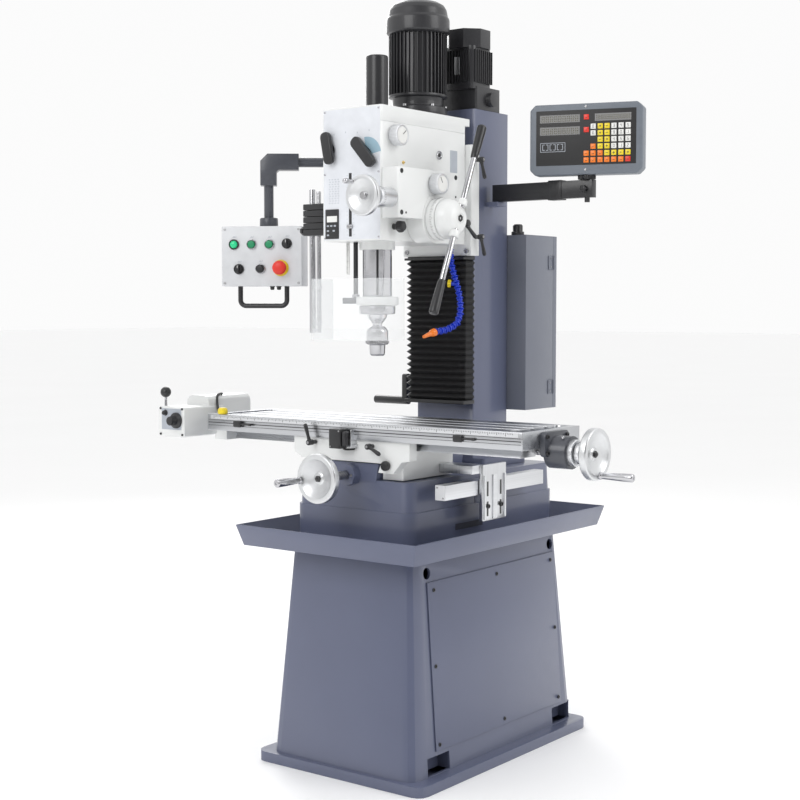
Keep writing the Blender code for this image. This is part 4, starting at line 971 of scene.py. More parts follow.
# %% Depth display and pointer slot
slab("depth_display", "head", satin_black, (-0.085, face_y - 0.0030, 1.3775),
     (-0.0415, face_y + 0.001, 1.4525), radius=0.0012)
slab("depth_window", "head", white_plastic, (-0.079, face_y - 0.0034, 1.4200),
     (-0.0455, face_y - 0.0028, 1.4355), radius=0.0003)
keys = [((x, face_y - 0.0036, z), (x + 0.007, face_y - 0.0028, z + 0.004)) for x, z in
        ((-0.079, 1.4085), (-0.068, 1.4085), (-0.056, 1.4085), (-0.079, 1.3960), (-0.079, 1.3850),
         (-0.060, 1.3960))]
marks("depth_keys", "head", pale_grey, keys)
# The pointer's slot is not cut: a black strip stands in for the shade in the opening, as painted shade.
marks("pointer_slot_shade", "head", satin_black, [((-0.0085, face_y - 0.0004, 1.382),
                                             (0.0005, face_y + 0.001, 1.542))])
side_marks = [((x, face_y - 0.0004, 1.386 + i * 0.010),
               (x + (0.004 if i % 5 else 0.006), face_y - 0.0001, 1.3867 + i * 0.010))
              for x in (-0.0165, 0.0050) for i in range(16)]
marks("pointer_scale", "head", pale_grey, side_marks)
slab("pointer_block", "head", chrome, (-0.0125, face_y - 0.0060, 1.4020), (0.0045, face_y - 0.0005, 1.4120),
     radius=0.0015)
studs("pointer_screw", "head", screw_steel, [(-0.004, face_y - 0.0060, 1.407)], "-y",
      socket_head(0.0036, 0.0022))
print("display and slot at the front")

# %% Side fittings: sight glass, oiler, recess and screws
lathe("oil_sight_ring", "head", chrome, (side - 0.0002, -0.087, 1.600), "+x",
      [(0, 0.0018), (0.0082, 0.0018), (0.0088, 0.0040), (0.0112, 0.0038), (0.0118, 0.0), (0, 0.0)])
lathe("oil_sight_glass", "head", dark_glass, (side - 0.0002, -0.087, 1.600), "+x",
      [(0, 0.0026), (0.0050, 0.0026), (0.0055, 0.0018), (0, 0.0018)])
lathe("brass_oiler", "head", brass, (side - 0.0002, -0.243, 1.5695), "+x",
      [(0, 0.0052), (0.0022, 0.0052), (0.0032, 0.0040), (0.0045, 0.0016), (0.0045, 0.0), (0, 0.0)], steps=24)
marks("side_recess", "head", pale_grey, [((side - 0.001, -0.036, 1.476), (side + 0.0004, -0.004, 1.6175))])
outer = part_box("worm_housing")[1].x - 0.002
studs("housing_screws", "head", satin_black,
      [(outer - 0.0002, y, z) for y, z in ((-0.319, 1.5410), (-0.319, 1.4385), (-0.086, 1.5390))], "+x",
      socket_head(0.0062, 0.0010))
studs("housing_small_screws", "head", satin_black,
      [(outer - 0.0002, -0.301, 1.4385), (outer - 0.0002, -0.086, 1.489)], "+x",
      socket_head(0.0028, 0.0010))
print("side fittings on x =", round(side, 4))

# %% Locking handle behind the capstan
# A shaft leaves the head's side and ends in a short black handle, and a small boss sits before it.
lathe("head_lock_boss", "head", white_paint, (side - 0.001, -0.053, 1.3960), "+x",
      [(0, 0.012), (0.0095, 0.012), (0.0115, 0.009), (0.0115, 0.0), (0, 0.0)], steps=40)
lathe("head_lock_shaft", "head", chrome, (side - 0.001, -0.031, 1.4240), "+x",
      [(0, 0.040), (0.0070, 0.040), (0.0070, 0.0), (0, 0.0)], steps=40)
lathe("head_lock_hub", "head", satin_black, (side + 0.032, -0.031, 1.4240), "+x",
      [(0, 0.026), (0.0080, 0.026), (0.0095, 0.023), (0.0095, 0.002), (0.0085, 0.0), (0, 0.0)], steps=40)
lathe("head_lock_handle", "head", satin_black, (side + 0.046, -0.031, 1.4240), (0.004, 0.053, -0.043),
      [(0, 0.060), (0.0042, 0.059), (0.0058, 0.052), (0.0046, 0.026), (0.0058, 0.0), (0, 0.0)], steps=32)
print("locking handle on the head's side")

# %% [markdown]
# ## Gear levers and selector knobs
# The two gear levers are rounded paddles on a boss, moulded in black. The selector knobs have a
# knurled black rim, so that oily fingers can turn them, round a plain white face with a pointer.

# %% Levers and knobs
for node in ("gear_lever_left", "gear_lever_right"):
    softened(node, node, satin_black, 0.0035, 3)


def selector(node, body, at, pointer):
    """A knob on the right side: knurled rim, white face, and a pointer line at an angle."""
    made = lathe(node + "_look", body, bar_aluminium, at, "+x",
                 [(0, 0.0268), (0.0212, 0.0268), (0.0218, 0.0288), (0.0255, 0.0288), (0.0265, 0.0272),
                  (0.0265, 0.0040), (0.0235, 0.0030), (0.0235, 0.0004), (0, 0.0004)], node,
                 ease=0.0005, flutes=(44, 0.0010))
    lathe(node + "_face", body, white_plastic, at, "+x",
          [(0, 0.0280), (0.0200, 0.0280), (0.0210, 0.0274), (0.0210, 0.0262), (0, 0.0262)])
    place = Matrix.Translation(Vector(at)) @ Matrix.Rotation(pointer, 4, "X")
    marks(node + "_pointer", body, satin_black, [((0.0279, -0.0009, 0.0030), (0.0284, 0.0009, 0.0185))],
          place)
    return made


selector("range_knob", "range_knob", (0.0963, -0.282, 1.6339), -0.9)
selector("feed_knob", "feed_knob", (0.1493, -0.183, 1.5159), 0.5)
lathe("quill_lock_look", "quill_lock", satin_black, (0.0963, -0.283, 1.4059), "+x",
      [(0, 0.0340), (0.0090, 0.0340), (0.0140, 0.0300), (0.0155, 0.0260), (0.0155, 0.0180), (0.0130, 0.0140),
       (0.0080, 0.0120), (0.0080, 0.0004), (0, 0.0004)], "quill_lock", flutes=(5, 0.0035))

# %% [markdown]
# ## Capstan
# Pulling the capstan round feeds the quill. Its shaft comes out of the worm housing, carries a
# graduated dial, and ends in a domed hub with two long rods at opposite sides. The grips are
# thicker towards the end, so the hand doesn't slip off.

# %% Dial and hub
CAPSTAN_Y, CAPSTAN_Z = -0.170, 1.4279
dial_at, hub_at = (0.1513, CAPSTAN_Y, CAPSTAN_Z), (0.1776, CAPSTAN_Y, CAPSTAN_Z)
lathe("capstan_dial_look", "capstan", white_paint, dial_at, "+x",
      [(0, 0.0255), (0.0520, 0.0255), (0.0540, 0.0235), (0.0540, 0.0010), (0.0530, 0.0002), (0, 0.0002)],
      "capstan_dial", steps=96)
ring_lines("capstan_dial_lines", "capstan", satin_black, dial_at, "+x", 0.0539, 80, 0.0130, 0.0222)
lathe("capstan_hub_look", "capstan", white_paint, hub_at, "+x",
      [(0, 0.0445), (0.0130, 0.0445), (0.0140, 0.0460), (0.0220, 0.0460), (0.0330, 0.0415), (0.0420, 0.0340),
       (0.0480, 0.0240), (0.0508, 0.0110), (0.0510, 0.0004), (0, 0.0004)], "capstan_arms", ease=0.002,
       steps=96)
lathe("capstan_screw", "capstan", satin_black, hub_at, "+x",
      [(0, 0.0440), (0.0040, 0.0440), (0.0050, 0.0475), (0.0085, 0.0475), (0.0092, 0.0465), (0.0092, 0.0440),
       (0, 0.0440)], steps=6, crease=20.0)
# A small black socket shape marks a hole in the white hub; its black is painted shade in the hole.
studs("capstan_hub_hole_shade", "capstan", satin_black, [(0.2150, -0.1670, 1.3935)], (0.86, 0.0, -0.51),
      socket_head(0.0042, 0.0010))

# %% Rods and grips
ARM_TURN, ARMS_X, ARM_REACH = math.radians(24), 0.2160, 0.264
for index, turn in enumerate((ARM_TURN, ARM_TURN + math.pi)):
    way = Vector((0.0, math.sin(turn), math.cos(turn)))
    centre = Vector((ARMS_X, CAPSTAN_Y, CAPSTAN_Z))
    lathe(f"capstan_rod_{index}", "capstan", chrome, centre + way * 0.030, way,
          [(0, 0.150), (0.0072, 0.150), (0.0075, 0.060), (0.0075, 0.0), (0, 0.0)], steps=40)
    lathe(f"capstan_collar_{index}", "capstan", white_paint, centre + way * 0.036, way,
          [(0.0076, 0.017), (0.0110, 0.017), (0.0125, 0.014), (0.0130, 0.0), (0, 0.0)], steps=40)
    lathe(f"capstan_grip_{index}", "capstan", satin_black, centre + way * 0.172, way,
          [(0, 0.0920), (0.0100, 0.0920), (0.0124, 0.0880), (0.0125, 0.0770), (0.0118, 0.0490),
           (0.0102, 0.0080),
           (0.0092, 0.0), (0, 0.0)], steps=48)
print("capstan arms reach", ARM_REACH)

# %% [markdown]
# ## Fine feed wheel
# The worm's handwheel is a shallow polished dish with a rolled rim. It has a graduated collar
# behind it and a small turned handle on its face.

# %% Wheel, collar and handle
fine_at = (0.124, -0.3323, 1.4739)
lathe("fine_feed_look", "fine_feed", wheel_metal, fine_at, "-y",
      [(0, 0.1065), (0.0110, 0.1060), (0.0200, 0.1070), (0.0340, 0.1125), (0.0400, 0.1160), (0.0470, 0.1160),
       (0.0500, 0.1135), (0.0500, 0.1030), (0.0480, 0.1005), (0.0440, 0.1000), (0.0300, 0.0950),
       (0.0200, 0.0880),
       (0.0200, 0.0664), (0, 0.0664)], "fine_feed_wheel", steps=96)
lathe("fine_feed_nut", "fine_feed", screw_steel, fine_at, "-y",
      [(0, 0.1120), (0.0080, 0.1120), (0.0095, 0.1105), (0.0095, 0.1050), (0, 0.1050)], steps=40)
lathe("fine_feed_collar", "fine_feed", bar_aluminium, fine_at, "-y",
      [(0, 0.0640), (0.0245, 0.0640), (0.0260, 0.0614), (0.0260, 0.0360), (0.0240, 0.0340), (0.0240, 0.0010),
       (0, 0.0010)], steps=80)
ring_lines("fine_feed_lines", "fine_feed", satin_black, fine_at, "-y", 0.0259, 40, 0.0480, 0.0600)
peg = (fine_at[0] - 0.028, fine_at[1] - 0.112, fine_at[2] + 0.034)
lathe("fine_feed_handle", "fine_feed", chrome, peg, "-y",
      [(0, 0.0375), (0.0030, 0.0372), (0.0060, 0.0345), (0.0068, 0.0290), (0.0058, 0.0190), (0.0040, 0.0090),
       (0.0038, 0.0060), (0.0058, 0.0045), (0.0060, 0.0), (0, 0.0)], ease=0.0012, steps=40)
print("fine feed wheel at", fine_at)

# %% [markdown]
# ## Quill, spindle and drill chuck
# The quill is a hard, polished tube that slides down with the spindle inside it. A painted collar
# clamps the depth rod to it. The spindle's nose holds an arbor, and the chuck's sleeve ends in a
# ring of gear teeth for its key. Three jaws meet inside the nose.

# %% Quill and depth rod
spindle_y, quill_low = -0.227, 1.2299
quill_at = (0.0, spindle_y, quill_low)
lathe("quill_look", "quill", chrome, quill_at, "+z",
      [(0.0225, 0.300), (0.0380, 0.300), (0.0380, 0.0005), (0.0225, 0.0005)], "quill", steps=96)
# A thin black strip on the quill stands in for its keyway: painted shade, not a cut groove.
slab("quill_keyway_shade", "quill", satin_black, (-0.0030, 0.0370, 0.004), (0.0030, 0.0384, 0.130), radius=0.0004,
     place=Matrix.Translation(quill_at) @ Matrix.Rotation(math.radians(-141), 4, "Z"))
lathe("quill_collar", "quill", white_paint, quill_at, "+z",
      [(0.0225, 0.0), (0.0530, 0.0), (0.0555, -0.0030), (0.0555, -0.0200), (0.0540, -0.0220),
       (0.0225, -0.0220)],
      steps=80)
slab("depth_shelf", "quill", housing_paint, (-0.085, spindle_y - 0.040, quill_low - 0.018),
     (-0.035, spindle_y - 0.008, quill_low - 0.002), radius=0.002)
lathe("depth_rod", "quill", satin_black, (-0.053, spindle_y - 0.023, quill_low - 0.010), "+z",
      [(0, 0.290), (0.0060, 0.290), (0.0060, 0.0), (0, 0.0)], steps=32)
lathe("depth_nut", "quill", chrome, (-0.053, spindle_y - 0.023, quill_low - 0.001), "+z",
      [(0, 0.0080), (0.0090, 0.0080), (0.0098, 0.0070), (0.0098, 0.0), (0, 0.0)], steps=40,
      flutes=(24, 0.0006))
print("quill from", quill_low)

# %% Depth ruler on the head
slab("depth_ruler", "head", white_plastic, (-0.083, -0.2515, 1.2880), (-0.073, -0.2497, 1.3712),
     radius=0.0003)
ticks = [((-0.0826, -0.2519, 1.2920 + i * 0.0030), (-0.0826 + (0.0058 if i % 5 == 0 else 0.0034), -0.2514,
                                                    1.2926 + i * 0.0030)) for i in range(26)]
marks("depth_ruler_lines", "head", satin_black, ticks)
print("ruler lines:", len(ticks))

# %% Spindle nose and chuck
lathe("spindle_look", "spindle", chrome, quill_at, "+z",
      [(0, 0.020), (0.0215, 0.020), (0.0215, -0.0226), (0.0450, -0.0226), (0.0470, -0.0245),
       (0.0470, -0.0430),
       (0.0450, -0.0450), (0.0260, -0.0460), (0.0240, -0.0550), (0.0130, -0.0690), (0.0120, -0.0757),
       (0, -0.0757)],
      "spindle", steps=80)
chuck_at = (0.0, spindle_y, quill_low - 0.076)
lathe("chuck_look", "spindle", chrome, chuck_at, "+z",
      [(0, 0.0), (0.0190, 0.0), (0.0250, -0.0065), (0.0285, -0.0130), (0.0285, -0.0360), (0.0270, -0.0376),
       (0, -0.0376)], "chuck", steps=80)
lathe("chuck_teeth", "spindle", screw_steel, chuck_at, "+z",
      [(0, -0.0370), (0.0290, -0.0370), (0.0310, -0.0384), (0.0310, -0.0436), (0.0290, -0.0450),
       (0, -0.0450)],
      ease=0.0003, flutes=(30, 0.0024))
lathe("chuck_sleeve", "spindle", chrome, chuck_at, "+z",
      [(0, -0.0445), (0.0280, -0.0445), (0.0285, -0.0458), (0.0270, -0.0475), (0.0210, -0.0490),
       (0.0198, -0.0720),
       (0.0165, -0.0768), (0.0075, -0.0770), (0.0070, -0.0600), (0, -0.0600)], steps=80)
jaws = bmesh.new()
for i in range(3):
    turn = Matrix.Translation(chuck_at) @ Matrix.Rotation(math.radians(120 * i + 40), 4, "Z")
    bmesh.ops.create_cube(jaws, size=1.0, matrix=turn @ Matrix.Translation((0.0042, 0.0, -0.0690))
                          @ Matrix.Diagonal((0.0055, 0.0048, 0.0155, 1.0)))
bmesh.ops.bevel(jaws, geom=jaws.edges[:], offset=0.0005, segments=2, profile=0.5, affect="EDGES")
piece("chuck_jaws", jaws, "spindle", screw_steel)
print("chuck nose at", round(chuck_at[2] - 0.077, 3))

# %% [markdown]
# ## Chip guard
# A folded sheet of clear acrylic hangs from two plated rods. A black clamp on the head's left side
# holds the rods at any height, and the shield swings open round the thinner one.

# %% Clamp, rods and shield
clamp_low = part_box("guard_clamp")[0].z
for index in range(5):
    low_z = clamp_low + index * 0.0166
    slab(f"guard_clamp_{index}", "head", satin_black, (-0.1758, -0.3178, low_z),
         (-0.0966, -0.2822, low_z + 0.0158),
         *(("guard_clamp",) if index == 0 else ()), radius=0.0024)
lathe("guard_clamp_knob", "head", satin_black, (-0.1750, -0.300, clamp_low + 0.014), "-x",
      [(0, 0.0190), (0.0090, 0.0190), (0.0110, 0.0170), (0.0115, 0.0100), (0.0060, 0.0080), (0.0060, 0.0),
       (0, 0.0)],
      flutes=(6, 0.0022))
rod_low, rod_high = 1.1359, 1.5099
lathe("guard_rod_main", "guard_rods", chrome, (-0.158, -0.300, rod_low), "+z",
      [(0, 0.374), (0.0070, 0.374), (0.0080, 0.372), (0.0080, 0.002), (0.0070, 0.0), (0, 0.0)], "guard_rods",
      steps=40)
lathe("guard_rod_thin", "guard_rods", chrome, (-0.136, -0.300, rod_low), "+z",
      [(0, 0.368), (0.0052, 0.368), (0.0060, 0.366), (0.0060, 0.002), (0.0052, 0.0), (0, 0.0)], steps=32)
slab("guard_rod_tie", "guard_rods", chrome, (-0.161, -0.306, rod_low + 0.002),
     (-0.133, -0.294, rod_low + 0.012),
     radius=0.0012)
softened("guard_shield", "guard_shield", acrylic, 0.0006, 1)
studs("guard_lug_screws", "guard_shield", chrome, [(-0.1205, -0.3103, z) for z in (1.163, 1.255)], "-y",
      socket_head(0.0042, 0.0030))
print("guard rods from", rod_low, "to", rod_high)

# %% [markdown]
# ## Coolant hose
# This hose is a chain of hollow ball-and-socket links, so it keeps any bend it is given. Each link
# has a ball at one end and a flared skirt at the other. One link's profile is spun at equal steps
# along the path, turned to follow it. A small yellow valve and an orange nozzle finish it.

# %% Links along the path
head_z = head_low.z + 0.020
hose_path = [Vector((x, y, head_z + z)) for x, y, z in (
    (0.072, 0.000, -0.0007), (0.073, -0.001, -0.0263), (0.077, -0.002, -0.0533), (0.085, -0.003, -0.0793),
    (0.096, -0.004, -0.1063), (0.105, -0.006, -0.1333), (0.112, -0.010, -0.1613), (0.117, -0.018, -0.1863),
    (0.118, -0.032, -0.2073), (0.114, -0.052, -0.2213), (0.108, -0.075, -0.2283), (0.103, -0.098, -0.2313),
    (0.099, -0.112, -0.2333))]
LINK_PITCH, LINK_STEPS = 0.0150, 24
LINK = [(0.0045, 0.0085), (0.0068, 0.0070), (0.0078, 0.0048), (0.0074, 0.0030), (0.0050, 0.0012),
        (0.0050, -0.0006),
        (0.0080, -0.0022), (0.0095, -0.0045), (0.0095, -0.0062), (0.0070, -0.0066)]


def along_path(points, distance):
    """The place and direction at a distance along a path of straight pieces."""
    for first, second in zip(points, points[1:]):
        length = (second - first).length
        if distance <= length:
            return first.lerp(second, distance / length), (second - first).normalized()
        distance -= length
    return points[-1], (points[-1] - points[-2]).normalized()


hose_length = sum((b - a).length for a, b in zip(hose_path, hose_path[1:]))
links = bmesh.new()
link_count = int(hose_length / LINK_PITCH)
for number in range(link_count):
    spot, way = along_path(hose_path, (number + 0.55) * LINK_PITCH)
    turn = (-way).to_track_quat("Z", "Y").to_matrix()
    rings = [[links.verts.new(spot + turn @ Vector((radius * math.cos(2 * math.pi * i / LINK_STEPS),
                                                    radius * math.sin(2 * math.pi * i / LINK_STEPS), height)))
              for i in range(LINK_STEPS)] for radius, height in LINK]
    links.faces.new(rings[0])
    links.faces.new(list(reversed(rings[-1])))
    skin(links, rings, LINK_STEPS)
bmesh.ops.recalc_face_normals(links, faces=links.faces)
piece("coolant_hose_links", links, "head", hose_blue, "coolant_hose", crease=50.0)
print("hose links:", link_count, "over", round(hose_length, 3))

# %% Nozzle and valve
nozzle_start, nozzle_end = Vector((0.0995, -0.108, head_z - 0.2325)), Vector((0.092, -0.150, head_z - 0.2453))
nozzle_length = (nozzle_end - nozzle_start).length
lathe("hose_nozzle", "head", orange, nozzle_start, nozzle_end - nozzle_start,
      [(0, nozzle_length), (0.0038, nozzle_length), (0.0044, nozzle_length - 0.002), (0.0064, 0.018),
       (0.0098, 0.012),
       (0.0104, 0.006), (0.0104, 0.001), (0.0085, 0.0), (0, 0.0)], steps=40)
valve_at = hose_path[4]
lathe("hose_valve", "head", hose_blue, valve_at, (-0.9, -0.45, 0.1),
      [(0, 0.016), (0.0050, 0.016), (0.0060, 0.014), (0.0060, 0.0), (0, 0.0)], steps=32)
valve_turn = Vector((-0.9, -0.45, 0.1)).normalized()
lathe("hose_valve_tap", "head", yellow, valve_at + valve_turn * 0.0155, valve_turn,
      [(0, 0.009), (0.0095, 0.009), (0.0105, 0.007), (0.0105, 0.002), (0.0090, 0.0), (0, 0.0)], steps=40,
      flutes=(4, 0.004))

# %% [markdown]
# ## Spindle motor and drawbar cover
# The motor is a standard flanged one: a cast body with long cooling fins, a waist above its
# flange, and a pressed fan cover with a stepped dome. The drawbar under the tall cap beside it
# holds the tooling, and the cap keeps hands away from it.

# %% Motor body
cover_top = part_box("head_top_cover")[1].z
motor_at = (0.0, -0.050, cover_top + 0.0003)
lathe("spindle_motor_look", "head", motor_paint, motor_at, "+z",
      [(0, 0.215), (0.0710, 0.215), (0.0710, 0.060), (0.0780, 0.058), (0.0780, 0.052), (0.0680, 0.049),
       (0.0680, 0.030),
       (0.0700, 0.026), (0.0780, 0.024), (0.0780, 0.0004), (0, 0.0004)], "spindle_motor", steps=96)
lathe("spindle_motor_fan_cover", "head", motor_paint, motor_at, "+z",
      [(0, 0.3050), (0.0300, 0.3050), (0.0320, 0.3030), (0.0550, 0.3015), (0.0700, 0.2930), (0.0765, 0.2820),
       (0.0800, 0.2640), (0.0835, 0.2590), (0.0845, 0.2540), (0.0845, 0.2235), (0.0825, 0.2205),
       (0.0700, 0.2140),
       (0, 0.2140)], ease=0.002, steps=96)
fins = bmesh.new()
FIN_COUNT = 40
for i in range(FIN_COUNT):
    turn = Matrix.Translation(motor_at) @ Matrix.Rotation(2 * math.pi * i / FIN_COUNT, 4, "Z")
    bmesh.ops.create_cube(fins, size=1.0, matrix=turn @ Matrix.Translation((0.0743, 0.0, 0.137))
                          @ Matrix.Diagonal((0.0072, 0.0024, 0.158, 1.0)))
bmesh.ops.bevel(fins, geom=fins.edges[:], offset=0.0006, segments=2, profile=0.5, affect="EDGES")
piece("spindle_motor_fins", fins, "head", motor_paint)
print("motor fins:", FIN_COUNT)

# %% Flange bolts, rating plate and drawbar cover
bolt_spots = [(motor_at[0] + 0.0730 * math.cos(a), motor_at[1] + 0.0730 * math.sin(a), motor_at[2] + 0.0235)
              for a in (math.radians(d) for d in (-82, -22, 38, 98, 158, 218))]
studs("motor_flange_bolts", "head", screw_steel, bolt_spots, "+z", socket_head(0.0048, 0.0065))
slab("lift_motor_plate", "base", plate_steel, (0.0360, 0.0686, 1.8330), (0.0520, 0.0700, 1.8800),
     radius=0.0004)
lathe("drawbar_cover_look", "head", satin_black, (0.0, spindle_y, cover_top + 0.0003), "+z",
      [(0, 0.1410), (0.0250, 0.1410), (0.0280, 0.1385), (0.0285, 0.1350), (0.0285, 0.0060), (0.0285, 0.0004),
       (0, 0.0004)], "drawbar_cover", steps=80)
lathe("drawbar_cover_ring", "head", motor_paint, (0.0, spindle_y, cover_top + 0.0003), "+z",
      [(0.0280, 0.0070), (0.0305, 0.0070), (0.0315, 0.0055), (0.0315, 0.0002), (0.0280, 0.0002)], steps=80)
print("drawbar cover up to", round(cover_top + 0.141, 3))

# %% [markdown]
# ## Pendant
# The control box hangs from a swinging arm, so the operator can turn it to face them. The box is
# a tray with a lid, and a thin dark gasket shows between them. Push-buttons sit in plated bezels.
# The emergency stop is a red mushroom on a yellow disc, and below the box is a handle for moving it.

# %% Arm and box
softened("pendant_arm", "pendant_arm", housing_paint, 0.0022, 3)
pendant_turn = Matrix.Rotation(math.radians(29), 4, "Z")
pendant_middle = Vector((-0.463, -0.132, 1.4299 - 0.084)) + pendant_turn @ Vector((-0.012, 0.0, 0.0))
pendant_place = Matrix.Translation(pendant_middle) @ pendant_turn
pendant_facing = tuple(pendant_turn @ Vector((0.0, -1.0, 0.0)))
slab("pendant_tray", "pendant_box", pendant_shell, (-0.115, -0.0335, -0.084), (0.115, 0.0425, 0.084),
     "pendant_box",
     radius=0.003, place=pendant_place)
slab("pendant_gasket", "pendant_box", satin_black, (-0.1138, -0.0350, -0.0828), (0.1138, -0.0330, 0.0828),
     radius=0.0006, place=pendant_place)
slab("pendant_lid", "pendant_box", pendant_shell, (-0.115, -0.0425, -0.084), (0.115, -0.0348, 0.084),
     radius=0.0022,
     place=pendant_place)
lathe("pendant_collar", "pendant_box", housing_paint, (-0.463, -0.132, 1.4295), "+z",
      [(0, 0.0254), (0.0230, 0.0254), (0.0255, 0.0230), (0.0260, 0.0040), (0.0240, 0.0), (0, 0.0)], steps=64)


def on_panel(u, v, out=0.0):
    """A point on the pendant's front, from its middle."""
    return pendant_place @ Vector((u, -0.0425 - out, v))


studs("pendant_screws", "pendant_box", screw_steel, [on_panel(u, v, -0.0003) for u in (-0.106, 0.106)
                                                     for v in (-0.075, 0.075)], pendant_facing,
                                                     socket_head(0.0036, 0.0016))
print("pendant middle", tuple(round(v, 3) for v in pendant_middle))

# %% Handle and cable glands
bend, drop = 0.016, 0.055
corner = [(-0.067 + bend - bend * math.cos(a), -0.084 - drop + bend - bend * math.sin(a))
          for a in (math.radians(d) for d in range(0, 91, 15))]
outline = [(-0.067, -0.080)] + corner
outline += [(-u, v) for u, v in reversed(outline)]
tube("pendant_handle", "pendant_box", satin_black,
     [pendant_place @ Vector((u, -0.018, v)) for u, v in outline], 0.007,
     smooth=False)
for index, u in enumerate((0.026, 0.045)):
    lathe(f"pendant_gland_{index}", "pendant_box", satin_black, pendant_place @ Vector((u, -0.022, -0.0838)),
          "-z",
          [(0, 0.0105), (0.0042, 0.0105), (0.0060, 0.0080), (0.0060, 0.0030), (0.0075, 0.0025),
           (0.0075, 0.0), (0, 0.0)],
          steps=24)

# %% Buttons in their bezels
lamp_green = moulded("lit_green_lens", (0.02, 0.50, 0.22), 0.20, 0.00001,
                     emission_color=(0.02, 0.55, 0.22, 1.0),
                     emission_strength=0.35)
BEZEL = [(0.0112, 0.0052), (0.0120, 0.0066), (0.0136, 0.0062), (0.0146, 0.0040), (0.0146, 0.0), (0.0112, 0.0)]
CAP = [(0, 0.0100), (0.0085, 0.0100), (0.0102, 0.0088), (0.0105, 0.0070), (0.0105, -0.0100), (0, -0.0100)]
for name, u, v, cap in (("button_forward", -0.028, 0.033, green), ("button_reverse", 0.023, 0.033, green),
                        ("button_stop", -0.003, -0.035, satin_black)):
    lathe(name + "_look", name, cap, on_panel(u, v), pendant_facing, CAP, name, steps=48)
    lathe(name + "_bezel", "pendant_box", chrome, on_panel(u, v), pendant_facing, BEZEL, steps=48)
lathe("pendant_lamp", "pendant_box", lamp_green, on_panel(-0.079, 0.033), pendant_facing,
      [(0, 0.0105), (0.0060, 0.0098), (0.0092, 0.0078), (0.0104, 0.0050), (0.0104, -0.0020), (0, -0.0020)],
      ease=0.001, steps=48)
lathe("pendant_lamp_bezel", "pendant_box", satin_black, on_panel(-0.079, 0.033), pendant_facing, BEZEL,
      steps=48)

# %% Emergency stop and selectors
lathe("emergency_disc", "pendant_box", yellow, on_panel(0.055, -0.033), pendant_facing,
      [(0.0110, 0.0016), (0.0225, 0.0016), (0.0230, 0.0010), (0.0230, 0.0), (0.0110, 0.0)], steps=72)
lathe("emergency_stop_look", "emergency_stop", red, on_panel(0.055, -0.033), pendant_facing,
      [(0, 0.0290), (0.0110, 0.0285), (0.0170, 0.0255), (0.0200, 0.0205), (0.0198, 0.0180), (0.0160, 0.0100),
       (0.0105, 0.0085), (0.0105, -0.0100), (0, -0.0100)], "emergency_stop", ease=0.0015, steps=72)
for name, u, v, lean in (("selector_speed", 0.073, 0.035, 0.4), ("selector_coolant", -0.065, -0.036, -0.4)):
    lathe(name + "_look", name, satin_black, on_panel(u, v), pendant_facing,
          [(0, 0.0085), (0.0095, 0.0085), (0.0105, 0.0075), (0.0105, -0.0100), (0, -0.0100)], name, steps=48)
    vane = pendant_place @ Matrix.Translation((u, -0.0425, v))
    slab(name + "_vane", name, satin_black, (-0.0035, -0.0200, -0.0108), (0.0035, -0.0080, 0.0108),
         radius=0.0012, place=vane)
    marks(name + "_line", name, white_plastic, [((-0.0006, -0.0203, 0.0020), (0.0006, -0.0199, 0.0098))],
          vane)
    lathe(name + "_bezel", "pendant_box", satin_black, on_panel(u, v), pendant_facing, BEZEL, steps=48)
print("pendant controls:", 6)

# %% Printed symbols on the pendant
faint = []
for u, v in ((-0.079, 0.033), (-0.028, 0.033), (0.023, 0.033), (0.073, 0.035), (-0.065, -0.036),
             (-0.003, -0.035)):
    for k, (width, height) in enumerate(((0.0090, 0.0011), (0.0052, 0.0011), (0.0012, 0.0040))):
        low_u = u - width / 2 + (0.006 if k == 2 else 0.0)
        low_v = v + 0.0190 + k * 0.0024 - (0.004 if k == 2 else 0.0)
        faint.append(((low_u, -0.0428, low_v), (low_u + width, -0.0424, low_v + height)))
marks("pendant_symbols", "pendant_box", pale_grey, faint, pendant_place)
print("symbol strokes:", len(faint))

# %% [markdown]
# ## Position readout
# The console shows where the table is along each axis. Its red digits are off here, so only their
# dark shapes show. Digits are drawn as seven bars, and the same bars print the numbers on the keys.

# %% Arm, frame and face
softened("readout_arm", "readout_arm", satin_black, 0.0016, 2)
console_grey = moulded("console_frame_grey", (0.155, 0.175, 0.205), 0.46, 0.00006)
console_face = moulded("console_face_black", (0.012, 0.012, 0.013), 0.50, 0.00003)
console_place = Matrix.Translation((0.405, 0.150, 1.5485)) @ Matrix.Rotation(math.radians(18), 4, "Z")
softened("readout_console", "readout_console", console_grey, 0.0035, 3)
slab("console_face", "readout_console", console_face, (-0.132, -0.0258, 0.025), (0.132, -0.0240, 0.1675),
     radius=0.0006,
     place=console_place)
lathe("console_bracket", "readout_console", satin_black, (0.405, 0.150, 1.5370), "+z",
      [(0.0078, 0.0112), (0.0240, 0.0112), (0.0250, 0.0095), (0.0250, 0.0015), (0.0240, 0.0), (0.0078, 0.0)],
      flutes=(5, 0.0070))
lathe("readout_clamp_knob", "readout_arm", satin_black, (0.405, 0.1388, 1.5130), "-y",
      [(0, 0.0160), (0.0080, 0.0160), (0.0095, 0.0140), (0.0095, 0.0060), (0.0050, 0.0040), (0.0050, 0.0),
       (0, 0.0)],
      flutes=(6, 0.0020))
print("console face", 0.264, "by", 0.1425)

# %% Windows and digits
segment_dim = moulded("unlit_segment", (0.150, 0.145, 0.110), 0.40, 0.00001)
SEGMENTS = {"a": (0, 1, 1, 1), "g": (0, 0.5, 1, 0.5), "d": (0, 0, 1, 0), "f": (0, 0.5, 0, 1),
            "b": (1, 0.5, 1, 1),
            "e": (0, 0, 0, 0.5), "c": (1, 0, 1, 0.5)}
SHAPES = ("abcdef", "bc", "abged", "abgcd", "fgbc", "afgcd", "afgcde", "abc", "abcdefg", "abcdfg")


